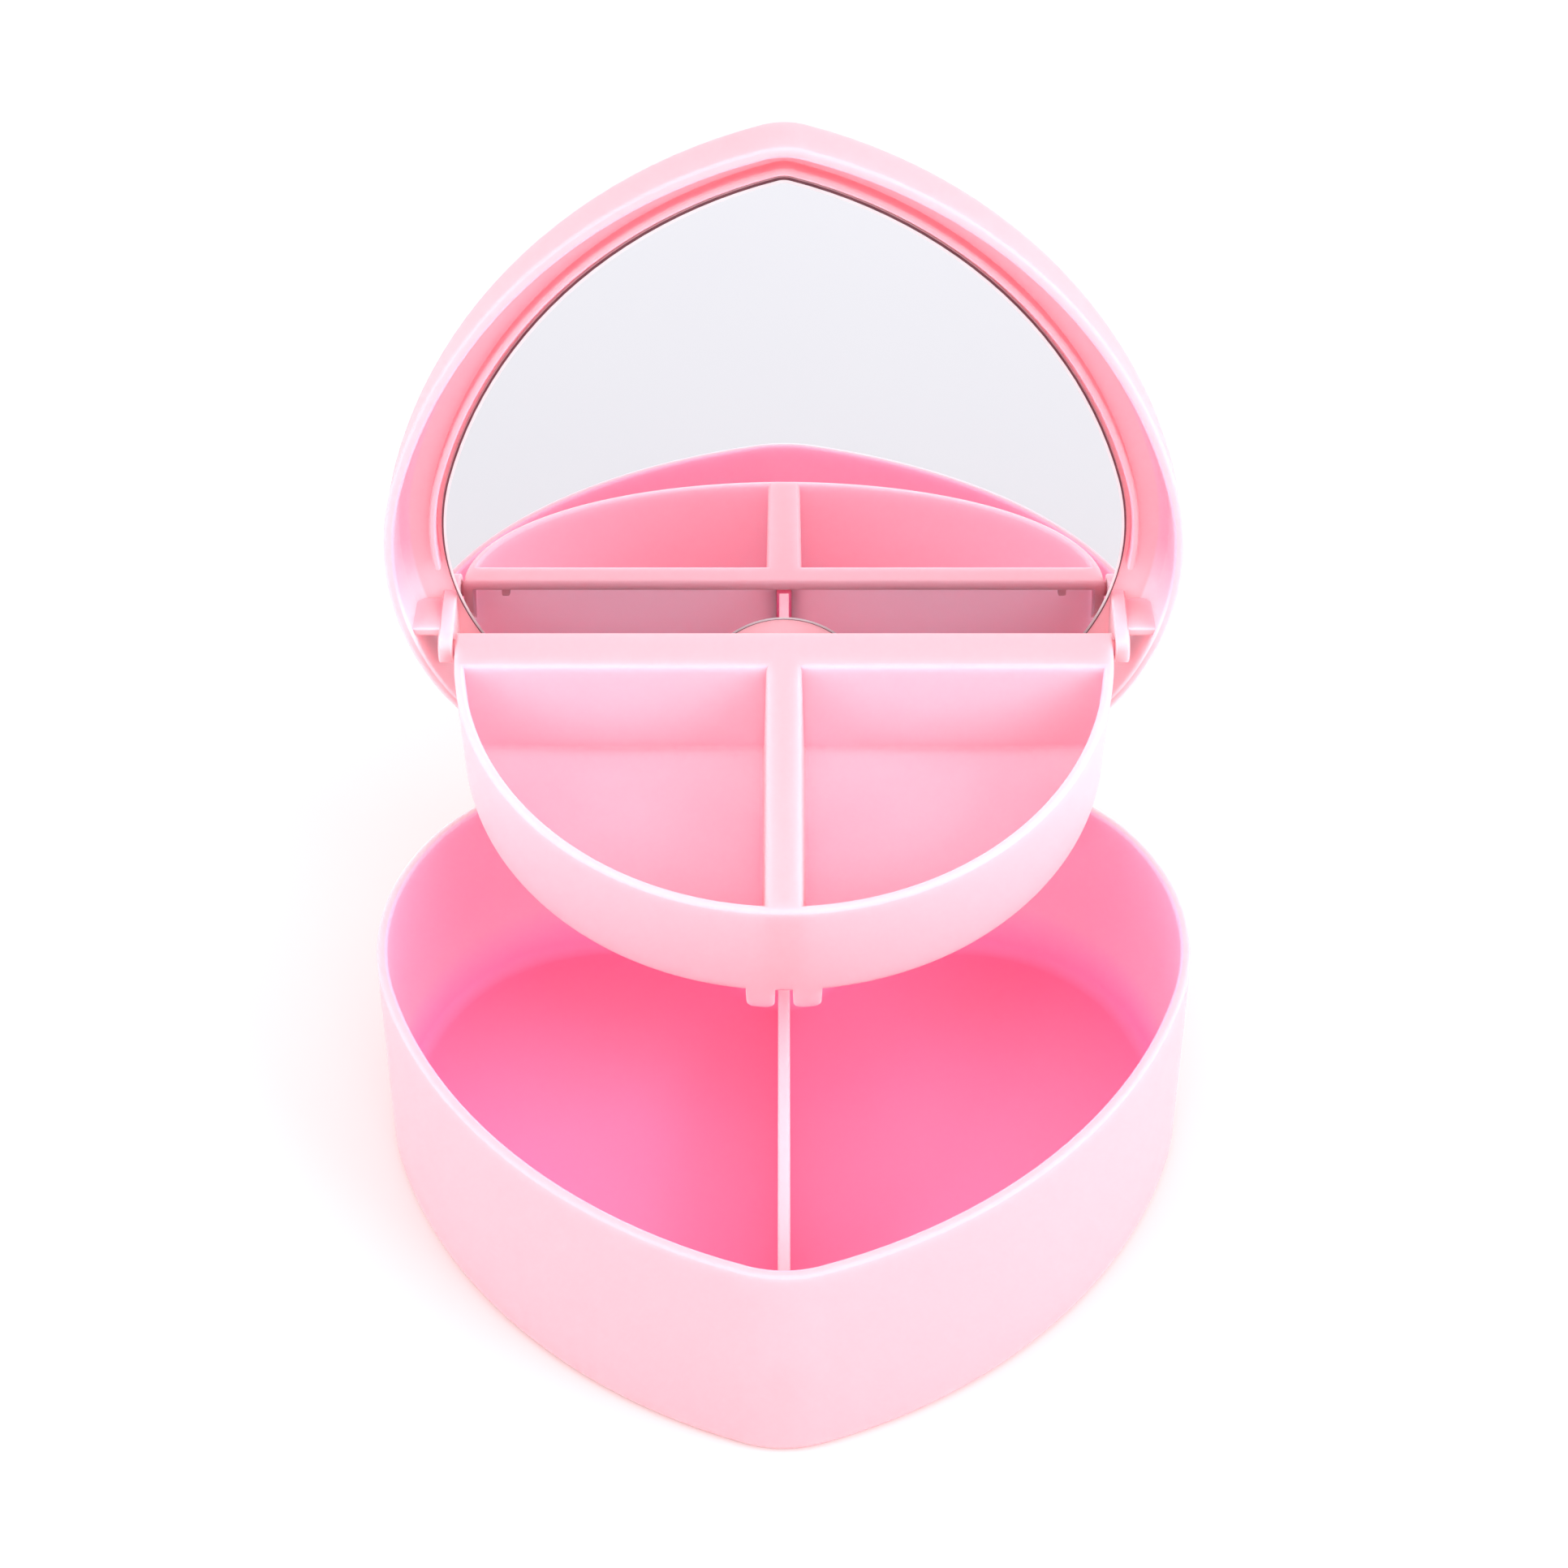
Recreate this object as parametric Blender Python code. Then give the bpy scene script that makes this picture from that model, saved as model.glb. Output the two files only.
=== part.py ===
"""Heart-shaped two-tier storage case with a mirrored lid and a lift-up half-moon tray.

The case stands open: the lid leans back on its two hinges and carries the tray on its lugs.
Metres, +Z up.  The origin lies on the underside of the base, below its widest line;
-Y is the tip of the heart, +Y its two lobes and the hinges.
"""
import bpy
import bmesh
from math import acos, asin, atan2, cos, pi, radians, sin, sqrt, tan
from mathutils import Vector

MM = 0.001

# Heart outline, measured on the outside at the parting plane
CASE_WIDTH = 120.8 * MM
TIP_REACH = 68.6 * MM
LOBE_REACH = 37.2 * MM
CLEFT_DEPTH = 13.4 * MM
CLEFT_RADIUS = 4.0 * MM
SIDE_RADIUS = 43.0 * MM
FLANK_RADIUS = 85.0 * MM
TIP_RADIUS = 17.0 * MM

# Base tub
BASE_HEIGHT = 36.4 * MM
BASE_WALL = 1.6 * MM
BASE_FLOOR = 1.6 * MM
BASE_EDGE_RADIUS = 1.6 * MM
INNER_EDGE_RADIUS = 2.0 * MM
RIM_RADIUS = 0.45 * MM
DRAFT = radians(0.5)
BASE_DIVIDER_THICKNESS = 1.8 * MM

# Lid, blunter at its tip than the base, which leaves an edge of the base bare there
LID_TIP_REACH = 67.5 * MM
LID_FLANK_RADIUS = 80.0 * MM
LID_DEPTH = 11.0 * MM
LID_WALL = 1.6 * MM
LID_PLATE = 1.5 * MM
LID_EDGE_RADIUS = 2.4 * MM
LID_INNER_RADIUS = 1.6 * MM
LID_OPEN_ANGLE = radians(95.0)

# Mirror, its tape and the rib that runs round it
MIRROR_INSET = 8.1 * MM
MIRROR_THICKNESS = 0.9 * MM
MIRROR_CHAMFER = 0.3 * MM
TAPE_INSET = 10.7 * MM
TAPE_THICKNESS = 0.3 * MM
RIB_WIDTH = 1.1 * MM
RIB_GAP = 0.7 * MM
RIB_RISE = 1.1 * MM
RIB_END = 5.4 * MM

# Hinges at the back of the lobes
HINGE_BEHIND_WALL = 1.0 * MM
BARREL_RADIUS = 2.3 * MM
HINGE_WIDTH = 14.0 * MM
LID_KNUCKLE_WIDTH = 5.8 * MM
HINGE_PIN_RADIUS = 0.8 * MM
ARM_HEIGHT = 6.5 * MM
ARM_BACK = 1.0 * MM
BRACKET_DROP = 10.0 * MM
BRACKET_BACK = 4.2 * MM

# Lugs that carry the tray, and the web from each lug to the lid wall
PIVOT_REACH = 23.24 * MM
PIVOT_DROP = 0.79 * MM
LUG_THICKNESS = 2.2 * MM
LUG_NOSE_RADIUS = 2.3 * MM
LUG_ROOT_NEAR = 16.5 * MM
LUG_ROOT_FAR = 27.2 * MM
WEB_REACH = 25.0 * MM
WEB_THICKNESS = 1.3 * MM
WEB_SHORT_OF_RIM = 0.6 * MM

# Tray
TRAY_WIDTH = 100.4 * MM
TRAY_LENGTH = 55.9 * MM
TRAY_SIDE_STRAIGHT = 3.6 * MM
TRAY_HEIGHT = 19.1 * MM
TRAY_WALL = 1.5 * MM
TRAY_FLOOR = 1.3 * MM
TRAY_DRAFT = radians(1.5)
TRAY_EDGE_RADIUS = 1.2 * MM
TRAY_TILT = radians(8.6)
LEDGE_DEPTH = 7.4 * MM
LEDGE_THICKNESS = 1.5 * MM
TRAY_DIVIDER_WIDTH = 5.4 * MM
DIVIDER_CHANNEL = 2.4 * MM
PIVOT_FROM_BACK = 1.7 * MM
PIVOT_BELOW_TOP = 1.8 * MM
STUD_RADIUS = 1.2 * MM
EAR_HEIGHT = 8.0 * MM
FORK_SLOT = 2.4 * MM
TAB_WIDTH = 4.5 * MM
TAB_DROP = 3.5 * MM
TAB_CORNER = 1.2 * MM
TAB_TAPER = 0.3 * MM
TAB_SET_BACK = 0.12 * MM
NUB_REACH = 43.0 * MM
NUB_SIZE = 1.2 * MM

# Clearances
SEAT_GAP = 0.3 * MM
PIN_CLEARANCE = 0.15 * MM
SWING_GAP = 0.35 * MM
LUG_GAP = 0.35 * MM
OVERLAP = 0.6 * MM

# Steps on the curves
CLEFT_STEPS = 5
LOBE_STEPS = 13
SIDE_STEPS = 8
FLANK_STEPS = 9
TIP_STEPS = 4
FILLET_STEPS = 3
ROUND_SEGMENTS = 24
TRAY_STEPS = 36

# The exact solver leaves open edges where the lugs meet the lid's rounded inner edge
LID_SOLVER = "MANIFOLD"

HINGE_Y = LOBE_REACH + HINGE_BEHIND_WALL
HINGE_Z = BASE_HEIGHT + SEAT_GAP / 2
LID_RIM = SEAT_GAP / 2
LID_PLATE_FACE = LID_RIM + LID_DEPTH - LID_PLATE
TAPE_BACK = LID_PLATE_FACE - SEAT_GAP
MIRROR_BACK = TAPE_BACK - TAPE_THICKNESS - SEAT_GAP
MIRROR_FACE = MIRROR_BACK - MIRROR_THICKNESS
TRAY_HALF = TRAY_WIDTH / 2
LUG_INNER = TRAY_HALF + LUG_GAP
LUG_OUTER = LUG_INNER + LUG_THICKNESS
TRAY_TOP = PIVOT_BELOW_TOP
TRAY_BACK = PIVOT_FROM_BACK
TRAY_BOTTOM = TRAY_TOP - TRAY_HEIGHT
TRAY_WALL_BACK = TRAY_BACK - (LEDGE_DEPTH - TRAY_WALL)
TRAY_BOTTOM_CLOSED = HINGE_Z - PIVOT_DROP + TRAY_BOTTOM
BASE_DIVIDER_TOP = TRAY_BOTTOM_CLOSED - SEAT_GAP


def clear_scene():
    """Remove every object that the new file came with."""
    for old in list(bpy.data.objects):
        bpy.data.objects.remove(old, do_unlink=True)


def plastic(name, colour, roughness, metallic=0.0):
    """A Principled material."""
    material = bpy.data.materials.new(name)
    material.use_nodes = True
    shader = material.node_tree.nodes["Principled BSDF"]
    shader.inputs["Base Color"].default_value = (*colour, 1.0)
    shader.inputs["Roughness"].default_value = roughness
    shader.inputs["Metallic"].default_value = metallic
    return material


def make_object(name, mesh_data, material=None, parent=None):
    """Turn a bmesh into an object with outward faces and smooth round sides."""
    bmesh.ops.recalc_face_normals(mesh_data, faces=mesh_data.faces)
    mesh = bpy.data.meshes.new(name)
    mesh_data.to_mesh(mesh)
    mesh_data.free()
    mesh.shade_smooth()
    mesh.set_sharp_from_angle(angle=radians(35))
    item = bpy.data.objects.new(name, mesh)
    bpy.context.collection.objects.link(item)
    item.parent = parent
    if material:
        mesh.materials.append(material)
    return item


def joint_empty(name, place, turn, parent=None):
    """An empty on a joint's axis, turned about X, that carries the moving pieces."""
    empty = bpy.data.objects.new(name, None)
    bpy.context.collection.objects.link(empty)
    empty.location = place
    empty.rotation_euler = (turn, 0.0, 0.0)
    empty.parent = parent
    return empty


def combine(item, tool, operation, solver="EXACT"):
    """Add or cut a tool, which is then hidden as construction geometry."""
    tool.hide_render = True
    tool.display_type = "WIRE"
    tool.parent = item.parent
    modifier = item.modifiers.new(tool.name, "BOOLEAN")
    modifier.object = tool
    modifier.operation = operation
    modifier.solver = solver


def loft(rings):
    """A closed solid through rings of equal point count, flat at both ends."""
    solid = bmesh.new()
    loops = [[solid.verts.new(point) for point in ring] for ring in rings]
    for lower, upper in zip(loops, loops[1:]):
        for i, start in enumerate(lower):
            j = (i + 1) % len(lower)
            solid.faces.new((start, lower[j], upper[j], upper[i]))
    ends = [solid.faces.new(loops[0]), solid.faces.new(loops[-1])]
    solid.normal_update()
    bmesh.ops.triangulate(solid, faces=ends)
    return solid


def prism_along(axis, profile, low, high):
    """Extrude a flat profile from low to high along X or Y."""
    def place(a, b, depth):
        return Vector((depth, a, b)) if axis == "X" else Vector((a, depth, b))

    return loft([[place(a, b, depth) for a, b in profile] for depth in (low, high)])


def cylinder_along_x(radius, low, high, y=0.0, z=0.0):
    """A round bar or a bore's cutter along X."""
    turns = [2 * pi * i / ROUND_SEGMENTS for i in range(ROUND_SEGMENTS)]
    circle = [(y + radius * cos(turn), z + radius * sin(turn)) for turn in turns]
    return prism_along("X", circle, low, high)


def arc(centre, radius, start, end, steps):
    """Points on an arc, without its last one, which the next arc begins with."""
    turns = [start + (end - start) * i / steps for i in range(steps)]
    return [(centre[0] + radius * cos(t), centre[1] + radius * sin(t)) for t in turns]


def heart_arcs(tip_reach, flank_radius):
    """Tangent arcs of a right half from the cleft to the tip: centre, radius, inset's sign, ends, steps."""
    side = (CASE_WIDTH / 2 - SIDE_RADIUS, 0.0)
    tip = (0.0, TIP_RADIUS - tip_reach)
    to_side = flank_radius - SIDE_RADIUS
    to_tip = flank_radius - TIP_RADIUS
    span = sqrt(side[0] ** 2 + tip[1] ** 2)
    bend = acos((to_side ** 2 + span ** 2 - to_tip ** 2) / (2 * to_side * span))
    heading = atan2(tip[1], -side[0]) - bend
    flank = (side[0] + to_side * cos(heading), to_side * sin(heading))
    spare = SIDE_RADIUS - LOBE_REACH
    a = 1 + spare / CLEFT_DEPTH
    c = side[0] ** 2 + LOBE_REACH ** 2 - SIDE_RADIUS ** 2 + spare * (CLEFT_DEPTH - 2 * CLEFT_RADIUS)
    lobe_x = (side[0] + sqrt(side[0] ** 2 - a * c)) / a
    lobe_radius = lobe_x ** 2 / (2 * CLEFT_DEPTH) + CLEFT_DEPTH / 2 - CLEFT_RADIUS
    lobe = (lobe_x, LOBE_REACH - lobe_radius)
    cleft = (0.0, LOBE_REACH - CLEFT_DEPTH + CLEFT_RADIUS)
    lobe_start = direction(cleft, lobe)
    side_start = direction(side, lobe)
    flank_start = direction(flank, side)
    tip_start = direction(flank, tip)
    return [
        (cleft, CLEFT_RADIUS, 1, -pi / 2, lobe_start, CLEFT_STEPS),
        (lobe, lobe_radius, -1, lobe_start + pi, side_start, LOBE_STEPS),
        (side, SIDE_RADIUS, -1, side_start, flank_start, SIDE_STEPS),
        (flank, flank_radius, -1, flank_start, tip_start, FLANK_STEPS),
        (tip, TIP_RADIUS, -1, tip_start, -pi / 2, TIP_STEPS),
    ]


def direction(start, end):
    """Angle of the line from one arc's centre to another's."""
    return atan2(end[1] - start[1], end[0] - start[0])


BASE_HEART = heart_arcs(TIP_REACH, FLANK_RADIUS)
LID_HEART = heart_arcs(LID_TIP_REACH, LID_FLANK_RADIUS)
LOBE_X = BASE_HEART[1][0][0]


def along_arcs(arcs, inset):
    """Points along arcs of a right half, set in from the outside, to the tip's end."""
    points = []
    for centre, radius, sign, start, end, steps in arcs:
        points += arc(centre, radius + sign * inset, start, end, steps)
    tip = arcs[-1][0]
    return points + [(0.0, tip[1] - TIP_RADIUS + inset)]


def heart(arcs, inset):
    """The closed outline, set in from the outside by a distance."""
    half = along_arcs(arcs, inset)
    return half + [(-x, y) for x, y in half[-2:0:-1]]


def side_half_width(y, inset):
    """Half the heart's width on its side arc."""
    return CASE_WIDTH / 2 - SIDE_RADIUS + sqrt((SIDE_RADIUS - inset) ** 2 - y ** 2)


def fillet(inset, height, radius, start):
    """A quarter round of a wall section, about a centre, from an angle on."""
    turns = [start - pi / 2 * i / FILLET_STEPS for i in range(FILLET_STEPS + 1)]
    return [(inset + radius * cos(turn), height + radius * sin(turn)) for turn in turns]


def tub_section(height, wall, floor, edge, inner_edge):
    """Inset and height along an open tub's wall, from its underside over the rim to its floor."""
    lean = tan(DRAFT)
    foot = height * lean
    inner_foot = wall + (height - floor) * lean
    section = fillet(foot + edge, edge, edge, -pi / 2)
    section += fillet(RIM_RADIUS, height - RIM_RADIUS, RIM_RADIUS, pi)
    section += fillet(wall - RIM_RADIUS, height - RIM_RADIUS, RIM_RADIUS, pi / 2)
    turns = [pi + pi / 2 * i / FILLET_STEPS for i in range(FILLET_STEPS + 1)]
    centre = (inner_foot + inner_edge, floor + inner_edge)
    section += [(centre[0] + inner_edge * cos(t), centre[1] + inner_edge * sin(t)) for t in turns]
    return section


def heart_plate(inset, low, high, chamfer=0.0):
    """A flat heart with chamfered edges, in the lid's frame."""
    section = [(inset + chamfer, low), (inset, low + chamfer), (inset, high)]
    if not chamfer:
        section = section[1:]
    return loft([[(x, y - HINGE_Y, z) for x, y in heart(LID_HEART, edge)] for edge, z in section])


def build_base(material):
    """The tub with its middle divider and the two hinge brackets."""
    section = tub_section(BASE_HEIGHT, BASE_WALL, BASE_FLOOR, BASE_EDGE_RADIUS, INNER_EDGE_RADIUS)
    rings = [[(x, y, z) for x, y in heart(BASE_HEART, inset)] for inset, z in section]
    base = make_object("base_tub", loft(rings), material)
    half = BASE_DIVIDER_THICKNESS / 2
    sunk = BASE_FLOOR / 2
    profile = [(-half, sunk), (half, sunk), (half, BASE_DIVIDER_TOP), (-half, BASE_DIVIDER_TOP)]
    front = BASE_WALL / 2 + BASE_HEIGHT * tan(DRAFT) - TIP_REACH
    back = LOBE_REACH - CLEFT_DEPTH - BASE_WALL / 2 - BASE_HEIGHT * tan(DRAFT)
    combine(base, make_object("divider_wall", prism_along("Y", profile, front, back)), "UNION")
    for side in (-1, 1):
        add_base_hinge(base, side * LOBE_X)
    return base


def add_base_hinge(base, middle):
    """Ears, opening stop and pin bore of one hinge on the back of a lobe."""
    half = HINGE_WIDTH / 2
    knuckle = LID_KNUCKLE_WIDTH / 2 + SEAT_GAP
    wall_y = HINGE_Y - HINGE_BEHIND_WALL - OVERLAP
    stop = ARM_BACK + SEAT_GAP
    lean = tan(LID_OPEN_ANGLE - pi / 2)
    bracket = [
        (wall_y, HINGE_Z - BRACKET_DROP),
        (HINGE_Y + BRACKET_BACK, HINGE_Z - BRACKET_DROP + BRACKET_BACK + HINGE_BEHIND_WALL),
        (HINGE_Y + BRACKET_BACK, HINGE_Z - stop - BRACKET_BACK * lean),
        (wall_y, HINGE_Z - stop),
    ]
    tools = [(prism_along("X", bracket, middle - half, middle + half), "UNION")]
    for low, high in ((-half, -knuckle), (knuckle, half)):
        ear = cylinder_along_x(BARREL_RADIUS, middle + low, middle + high, HINGE_Y, HINGE_Z)
        tools.append((ear, "UNION"))
    swing = BARREL_RADIUS + SWING_GAP
    swept = cylinder_along_x(swing, middle - knuckle, middle + knuckle, HINGE_Y, HINGE_Z)
    radius = HINGE_PIN_RADIUS + PIN_CLEARANCE
    through = half + OVERLAP
    bore = cylinder_along_x(radius, middle - through, middle + through, HINGE_Y, HINGE_Z)
    tools += [(swept, "DIFFERENCE"), (bore, "DIFFERENCE")]
    for tool, operation in tools:
        combine(base, make_object("base_hinge_tool", tool), operation)


def build_lid(material, hinge):
    """The lid's shell with its rib, hinge knuckles, tray lugs and webs, about the hinge axis."""
    section = tub_section(LID_DEPTH, LID_WALL, LID_PLATE, LID_EDGE_RADIUS, LID_INNER_RADIUS)
    top = LID_RIM + LID_DEPTH
    rings = [[(x, y - HINGE_Y, top - z) for x, y in heart(LID_HEART, inset)] for inset, z in section]
    lid = make_object("lid_shell", loft(rings), material, hinge)
    combine(lid, make_object("mirror_rib", mirror_rib()), "UNION", LID_SOLVER)
    for side in (-1, 1):
        add_lug(lid, side)
        add_lid_hinge(lid, side * LOBE_X)
    return lid


def mirror_rib():
    """The thin round-ended rib that follows the mirror's edge from side to side round the tip."""
    inner = MIRROR_INSET - RIB_GAP
    outer = inner - RIB_WIDTH
    centre, radius, sign, _, end, steps = LID_HEART[2]
    middle = radius - (inner + outer) / 2
    start = asin(RIB_END / middle)
    arcs = [(centre, radius, sign, start, end, steps)] + LID_HEART[3:]
    post = (centre[0] + middle * cos(start), centre[1] + middle * sin(start))
    half = arc(post, RIB_WIDTH / 2, start + pi, start, 2 * FILLET_STEPS) + along_arcs(arcs, outer)
    back = along_arcs(arcs, inner)[1:]
    outline = half + [(-x, y) for x, y in half[-2::-1]] + [(-x, y) for x, y in back] + back[-2::-1]
    heights = (MIRROR_FACE - RIB_RISE, LID_PLATE_FACE + LID_PLATE / 2)
    return loft([[(x, y - HINGE_Y, z) for x, y in outline] for z in heights])


def lug_profile():
    """A lug's side view: wide at the lid's plate, round about the pivot at its nose."""
    root = LID_PLATE_FACE + LID_PLATE / 2
    turns = [pi + pi * i / (ROUND_SEGMENTS // 2) for i in range(ROUND_SEGMENTS // 2 + 1)]
    nose = [(LUG_NOSE_RADIUS * cos(turn) - PIVOT_REACH, LUG_NOSE_RADIUS * sin(turn) - PIVOT_DROP)
            for turn in turns]
    return [(-LUG_ROOT_NEAR, root), (-LUG_ROOT_FAR, root)] + nose


def add_lug(lid, side):
    """One lug, its stud hole and the web that ties it to the lid's side wall."""
    near, far = sorted((side * LUG_INNER, side * LUG_OUTER))
    lug = prism_along("X", lug_profile(), near, far)
    combine(lid, make_object("tray_lug", lug), "UNION", LID_SOLVER)
    wall_x = side_half_width(HINGE_Y - WEB_REACH, LID_WALL / 2 + LID_DEPTH * tan(DRAFT))
    low, high = sorted((side * (LUG_OUTER - OVERLAP), side * wall_x))
    half = WEB_THICKNESS / 2
    bottom = LID_RIM + WEB_SHORT_OF_RIM
    root = LID_PLATE_FACE + LID_PLATE / 2
    web = [(-WEB_REACH - half, bottom), (-WEB_REACH + half, bottom), (-WEB_REACH + half, root),
           (-WEB_REACH - half, root)]
    combine(lid, make_object("lug_web", prism_along("X", web, low, high)), "UNION", LID_SOLVER)
    radius = STUD_RADIUS + PIN_CLEARANCE
    hole = cylinder_along_x(radius, near - OVERLAP, far + OVERLAP, -PIVOT_REACH, -PIVOT_DROP)
    combine(lid, make_object("stud_hole", hole), "DIFFERENCE", LID_SOLVER)


def add_lid_hinge(lid, middle):
    """The lid's knuckle and arm, the clearance round the base's ears and the pin bore."""
    half = LID_KNUCKLE_WIDTH / 2
    inside = -HINGE_BEHIND_WALL - OVERLAP
    arm = [
        (inside, 0.0),
        (ARM_BACK, 0.0),
        (ARM_BACK, ARM_HEIGHT - ARM_BACK - HINGE_BEHIND_WALL),
        (-HINGE_BEHIND_WALL, ARM_HEIGHT),
        (inside, ARM_HEIGHT),
    ]
    swing = BARREL_RADIUS + SWING_GAP
    ear_end = HINGE_WIDTH / 2 + SEAT_GAP
    through = HINGE_WIDTH / 2 + OVERLAP
    tools = [(cylinder_along_x(swing, middle - ear_end, middle + ear_end), "DIFFERENCE")]
    tools.append((prism_along("X", arm, middle - half, middle + half), "UNION"))
    tools.append((cylinder_along_x(BARREL_RADIUS, middle - half, middle + half), "UNION"))
    bore = HINGE_PIN_RADIUS + PIN_CLEARANCE
    tools.append((cylinder_along_x(bore, middle - through, middle + through), "DIFFERENCE"))
    for tool, operation in tools:
        combine(lid, make_object("lid_hinge_tool", tool), operation, LID_SOLVER)


def half_moon(inset, back, middle=None):
    """The tray's outline, or its right half up to a middle line: straight back and elliptic front."""
    wide = TRAY_HALF - inset
    deep = TRAY_LENGTH - TRAY_SIDE_STRAIGHT - inset
    shoulder = TRAY_BACK - TRAY_SIDE_STRAIGHT
    start = asin(max(shoulder - back, 0.0) / deep)
    end = pi - start if middle is None else acos(middle / wide)
    turns = [start + (end - start) * i / TRAY_STEPS for i in range(TRAY_STEPS + 1)]
    curve = [(wide * cos(t), shoulder - deep * sin(t)) for t in turns]
    if middle is not None:
        return curve + [(middle, back)]
    if back > shoulder:
        curve = [(wide, back)] + curve + [(-wide, back)]
    return curve


def tray_body():
    """The tray's outer block, from the ledge's back edge to the front, with a rounded foot."""
    foot = TRAY_HEIGHT * tan(TRAY_DRAFT)
    edge = TRAY_EDGE_RADIUS
    section = fillet(foot + edge, TRAY_BOTTOM + edge, edge, -pi / 2)
    section += fillet(RIM_RADIUS, TRAY_TOP - RIM_RADIUS, RIM_RADIUS, pi)
    outlines = [(half_moon(inset, TRAY_BACK - inset), z) for inset, z in section]
    return loft([[(x, y, z) for x, y in outline] for outline, z in outlines])


def behind_wall():
    """The space under the ledge, between the ears, and the cut that slopes the ears' undersides."""
    inside = TRAY_HALF - TRAY_WALL
    back = TRAY_BACK + OVERLAP
    low = TRAY_BOTTOM - OVERLAP
    under_ledge = TRAY_TOP - LEDGE_THICKNESS
    ear_foot = TRAY_TOP - EAR_HEIGHT
    space = [(TRAY_WALL_BACK, low), (back, low), (back, under_ledge), (TRAY_WALL_BACK, under_ledge)]
    ear_back = ear_foot + LEDGE_DEPTH / 2
    slope = [(TRAY_WALL_BACK, low), (back, low), (back, ear_back), (TRAY_WALL_BACK, ear_foot)]
    wide = TRAY_HALF + OVERLAP
    return prism_along("X", space, -inside, inside), prism_along("X", slope, -wide, wide)


def tray_pocket(side):
    """The space of one compartment, with a rounded floor edge."""
    lean = tan(TRAY_DRAFT)
    floor = TRAY_BOTTOM + TRAY_FLOOR
    rise = TRAY_TOP - floor
    radius = TRAY_EDGE_RADIUS
    turns = [pi + pi / 2 * i / FILLET_STEPS for i in range(FILLET_STEPS + 1)]
    foot = rise * lean + radius
    section = [(-OVERLAP * lean, TRAY_TOP + OVERLAP)]
    section += [(foot + radius * cos(t), floor + radius + radius * sin(t)) for t in turns]
    rings = []
    for inset, z in section:
        back = TRAY_WALL_BACK - TRAY_WALL - inset
        outline = half_moon(TRAY_WALL + inset, back, TRAY_DIVIDER_WIDTH / 2 + inset)
        rings.append([(side * x, y, z) for x, y in outline])
    return loft(rings)


def front_wall(x, z):
    """How far forward the tray's front wall lies at a place, carried on below its foot."""
    inset = (TRAY_TOP - z) * tan(TRAY_DRAFT)
    deep = TRAY_LENGTH - TRAY_SIDE_STRAIGHT - inset
    return TRAY_BACK - TRAY_SIDE_STRAIGHT - deep * sqrt(1 - (x / (TRAY_HALF - inset)) ** 2)


def tray_tab(side):
    """One of the two rounded tabs, in line with the front wall, that straddle the base's divider."""
    near = FORK_SLOT / 2
    far = near + TAB_WIDTH
    root = TRAY_BOTTOM + 2 * TRAY_EDGE_RADIUS
    corner = TRAY_BOTTOM - TAB_DROP + TAB_CORNER
    outer = far - TAB_TAPER - TAB_CORNER
    inner = near + TAB_TAPER + TAB_CORNER
    turns = [pi / 2 * i / FILLET_STEPS for i in range(FILLET_STEPS + 1)]
    profile = [(near, root), (far, root), (far, TRAY_BOTTOM)]
    profile += [(outer + TAB_CORNER * cos(t), corner - TAB_CORNER * sin(t)) for t in turns]
    profile += [(inner - TAB_CORNER * sin(t), corner - TAB_CORNER * cos(t)) for t in turns]
    profile.append((near, TRAY_BOTTOM))
    depths = (TAB_SET_BACK, TAB_SET_BACK + TRAY_WALL)
    return loft([[(side * x, front_wall(x, z) + depth, z) for x, z in profile] for depth in depths])


def ledge_nub(side):
    """A small nub under the ledge near one ear."""
    low, high = sorted((side * NUB_REACH, side * (NUB_REACH + NUB_SIZE)))
    under = TRAY_TOP - LEDGE_THICKNESS
    back = TRAY_BACK - NUB_SIZE / 2
    front = back - NUB_SIZE
    top = under + LEDGE_THICKNESS / 2
    profile = [(front, under - NUB_SIZE), (back, under - NUB_SIZE), (back, top), (front, top)]
    return prism_along("X", profile, low, high)


def tray_foot_front():
    """Where the flat underside of the tray begins, behind its front wall's rounded foot."""
    return TRAY_BACK - TRAY_LENGTH + TRAY_HEIGHT * tan(TRAY_DRAFT) + TRAY_EDGE_RADIUS


def build_tray(material, pivot):
    """The half-moon tray about its pivot axis, level when its frame is level."""
    tray = make_object("tray", tray_body(), material, pivot)
    tools = [(tool, "DIFFERENCE") for tool in behind_wall()]
    for side in (-1, 1):
        low, high = sorted((side * (TRAY_HALF - TRAY_WALL / 2), side * (LUG_OUTER - SEAT_GAP)))
        tools.append((cylinder_along_x(STUD_RADIUS, low, high), "UNION"))
        tools.append((tray_tab(side), "UNION"))
        tools.append((ledge_nub(side), "UNION"))
        tools.append((tray_pocket(side), "DIFFERENCE"))
    half = DIVIDER_CHANNEL / 2
    low = TRAY_BOTTOM - OVERLAP
    high = TRAY_TOP - LEDGE_THICKNESS
    channel = [(-half, low), (half, low), (half, high), (-half, high)]
    front = tray_foot_front() + TRAY_WALL / 2
    tools.append((prism_along("Y", channel, front, TRAY_WALL_BACK + OVERLAP), "DIFFERENCE"))
    for tool, operation in tools:
        combine(tray, make_object("tray_tool", tool), operation)
    return tray


def build_hinge_pins(material):
    """One steel pin through each hinge."""
    half = HINGE_WIDTH / 2
    for name, side in (("left_hinge_pin", -1), ("right_hinge_pin", 1)):
        middle = side * LOBE_X
        pin = cylinder_along_x(HINGE_PIN_RADIUS, middle - half, middle + half)
        item = make_object(name, pin, material)
        item.location = (0.0, HINGE_Y, HINGE_Z)


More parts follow.
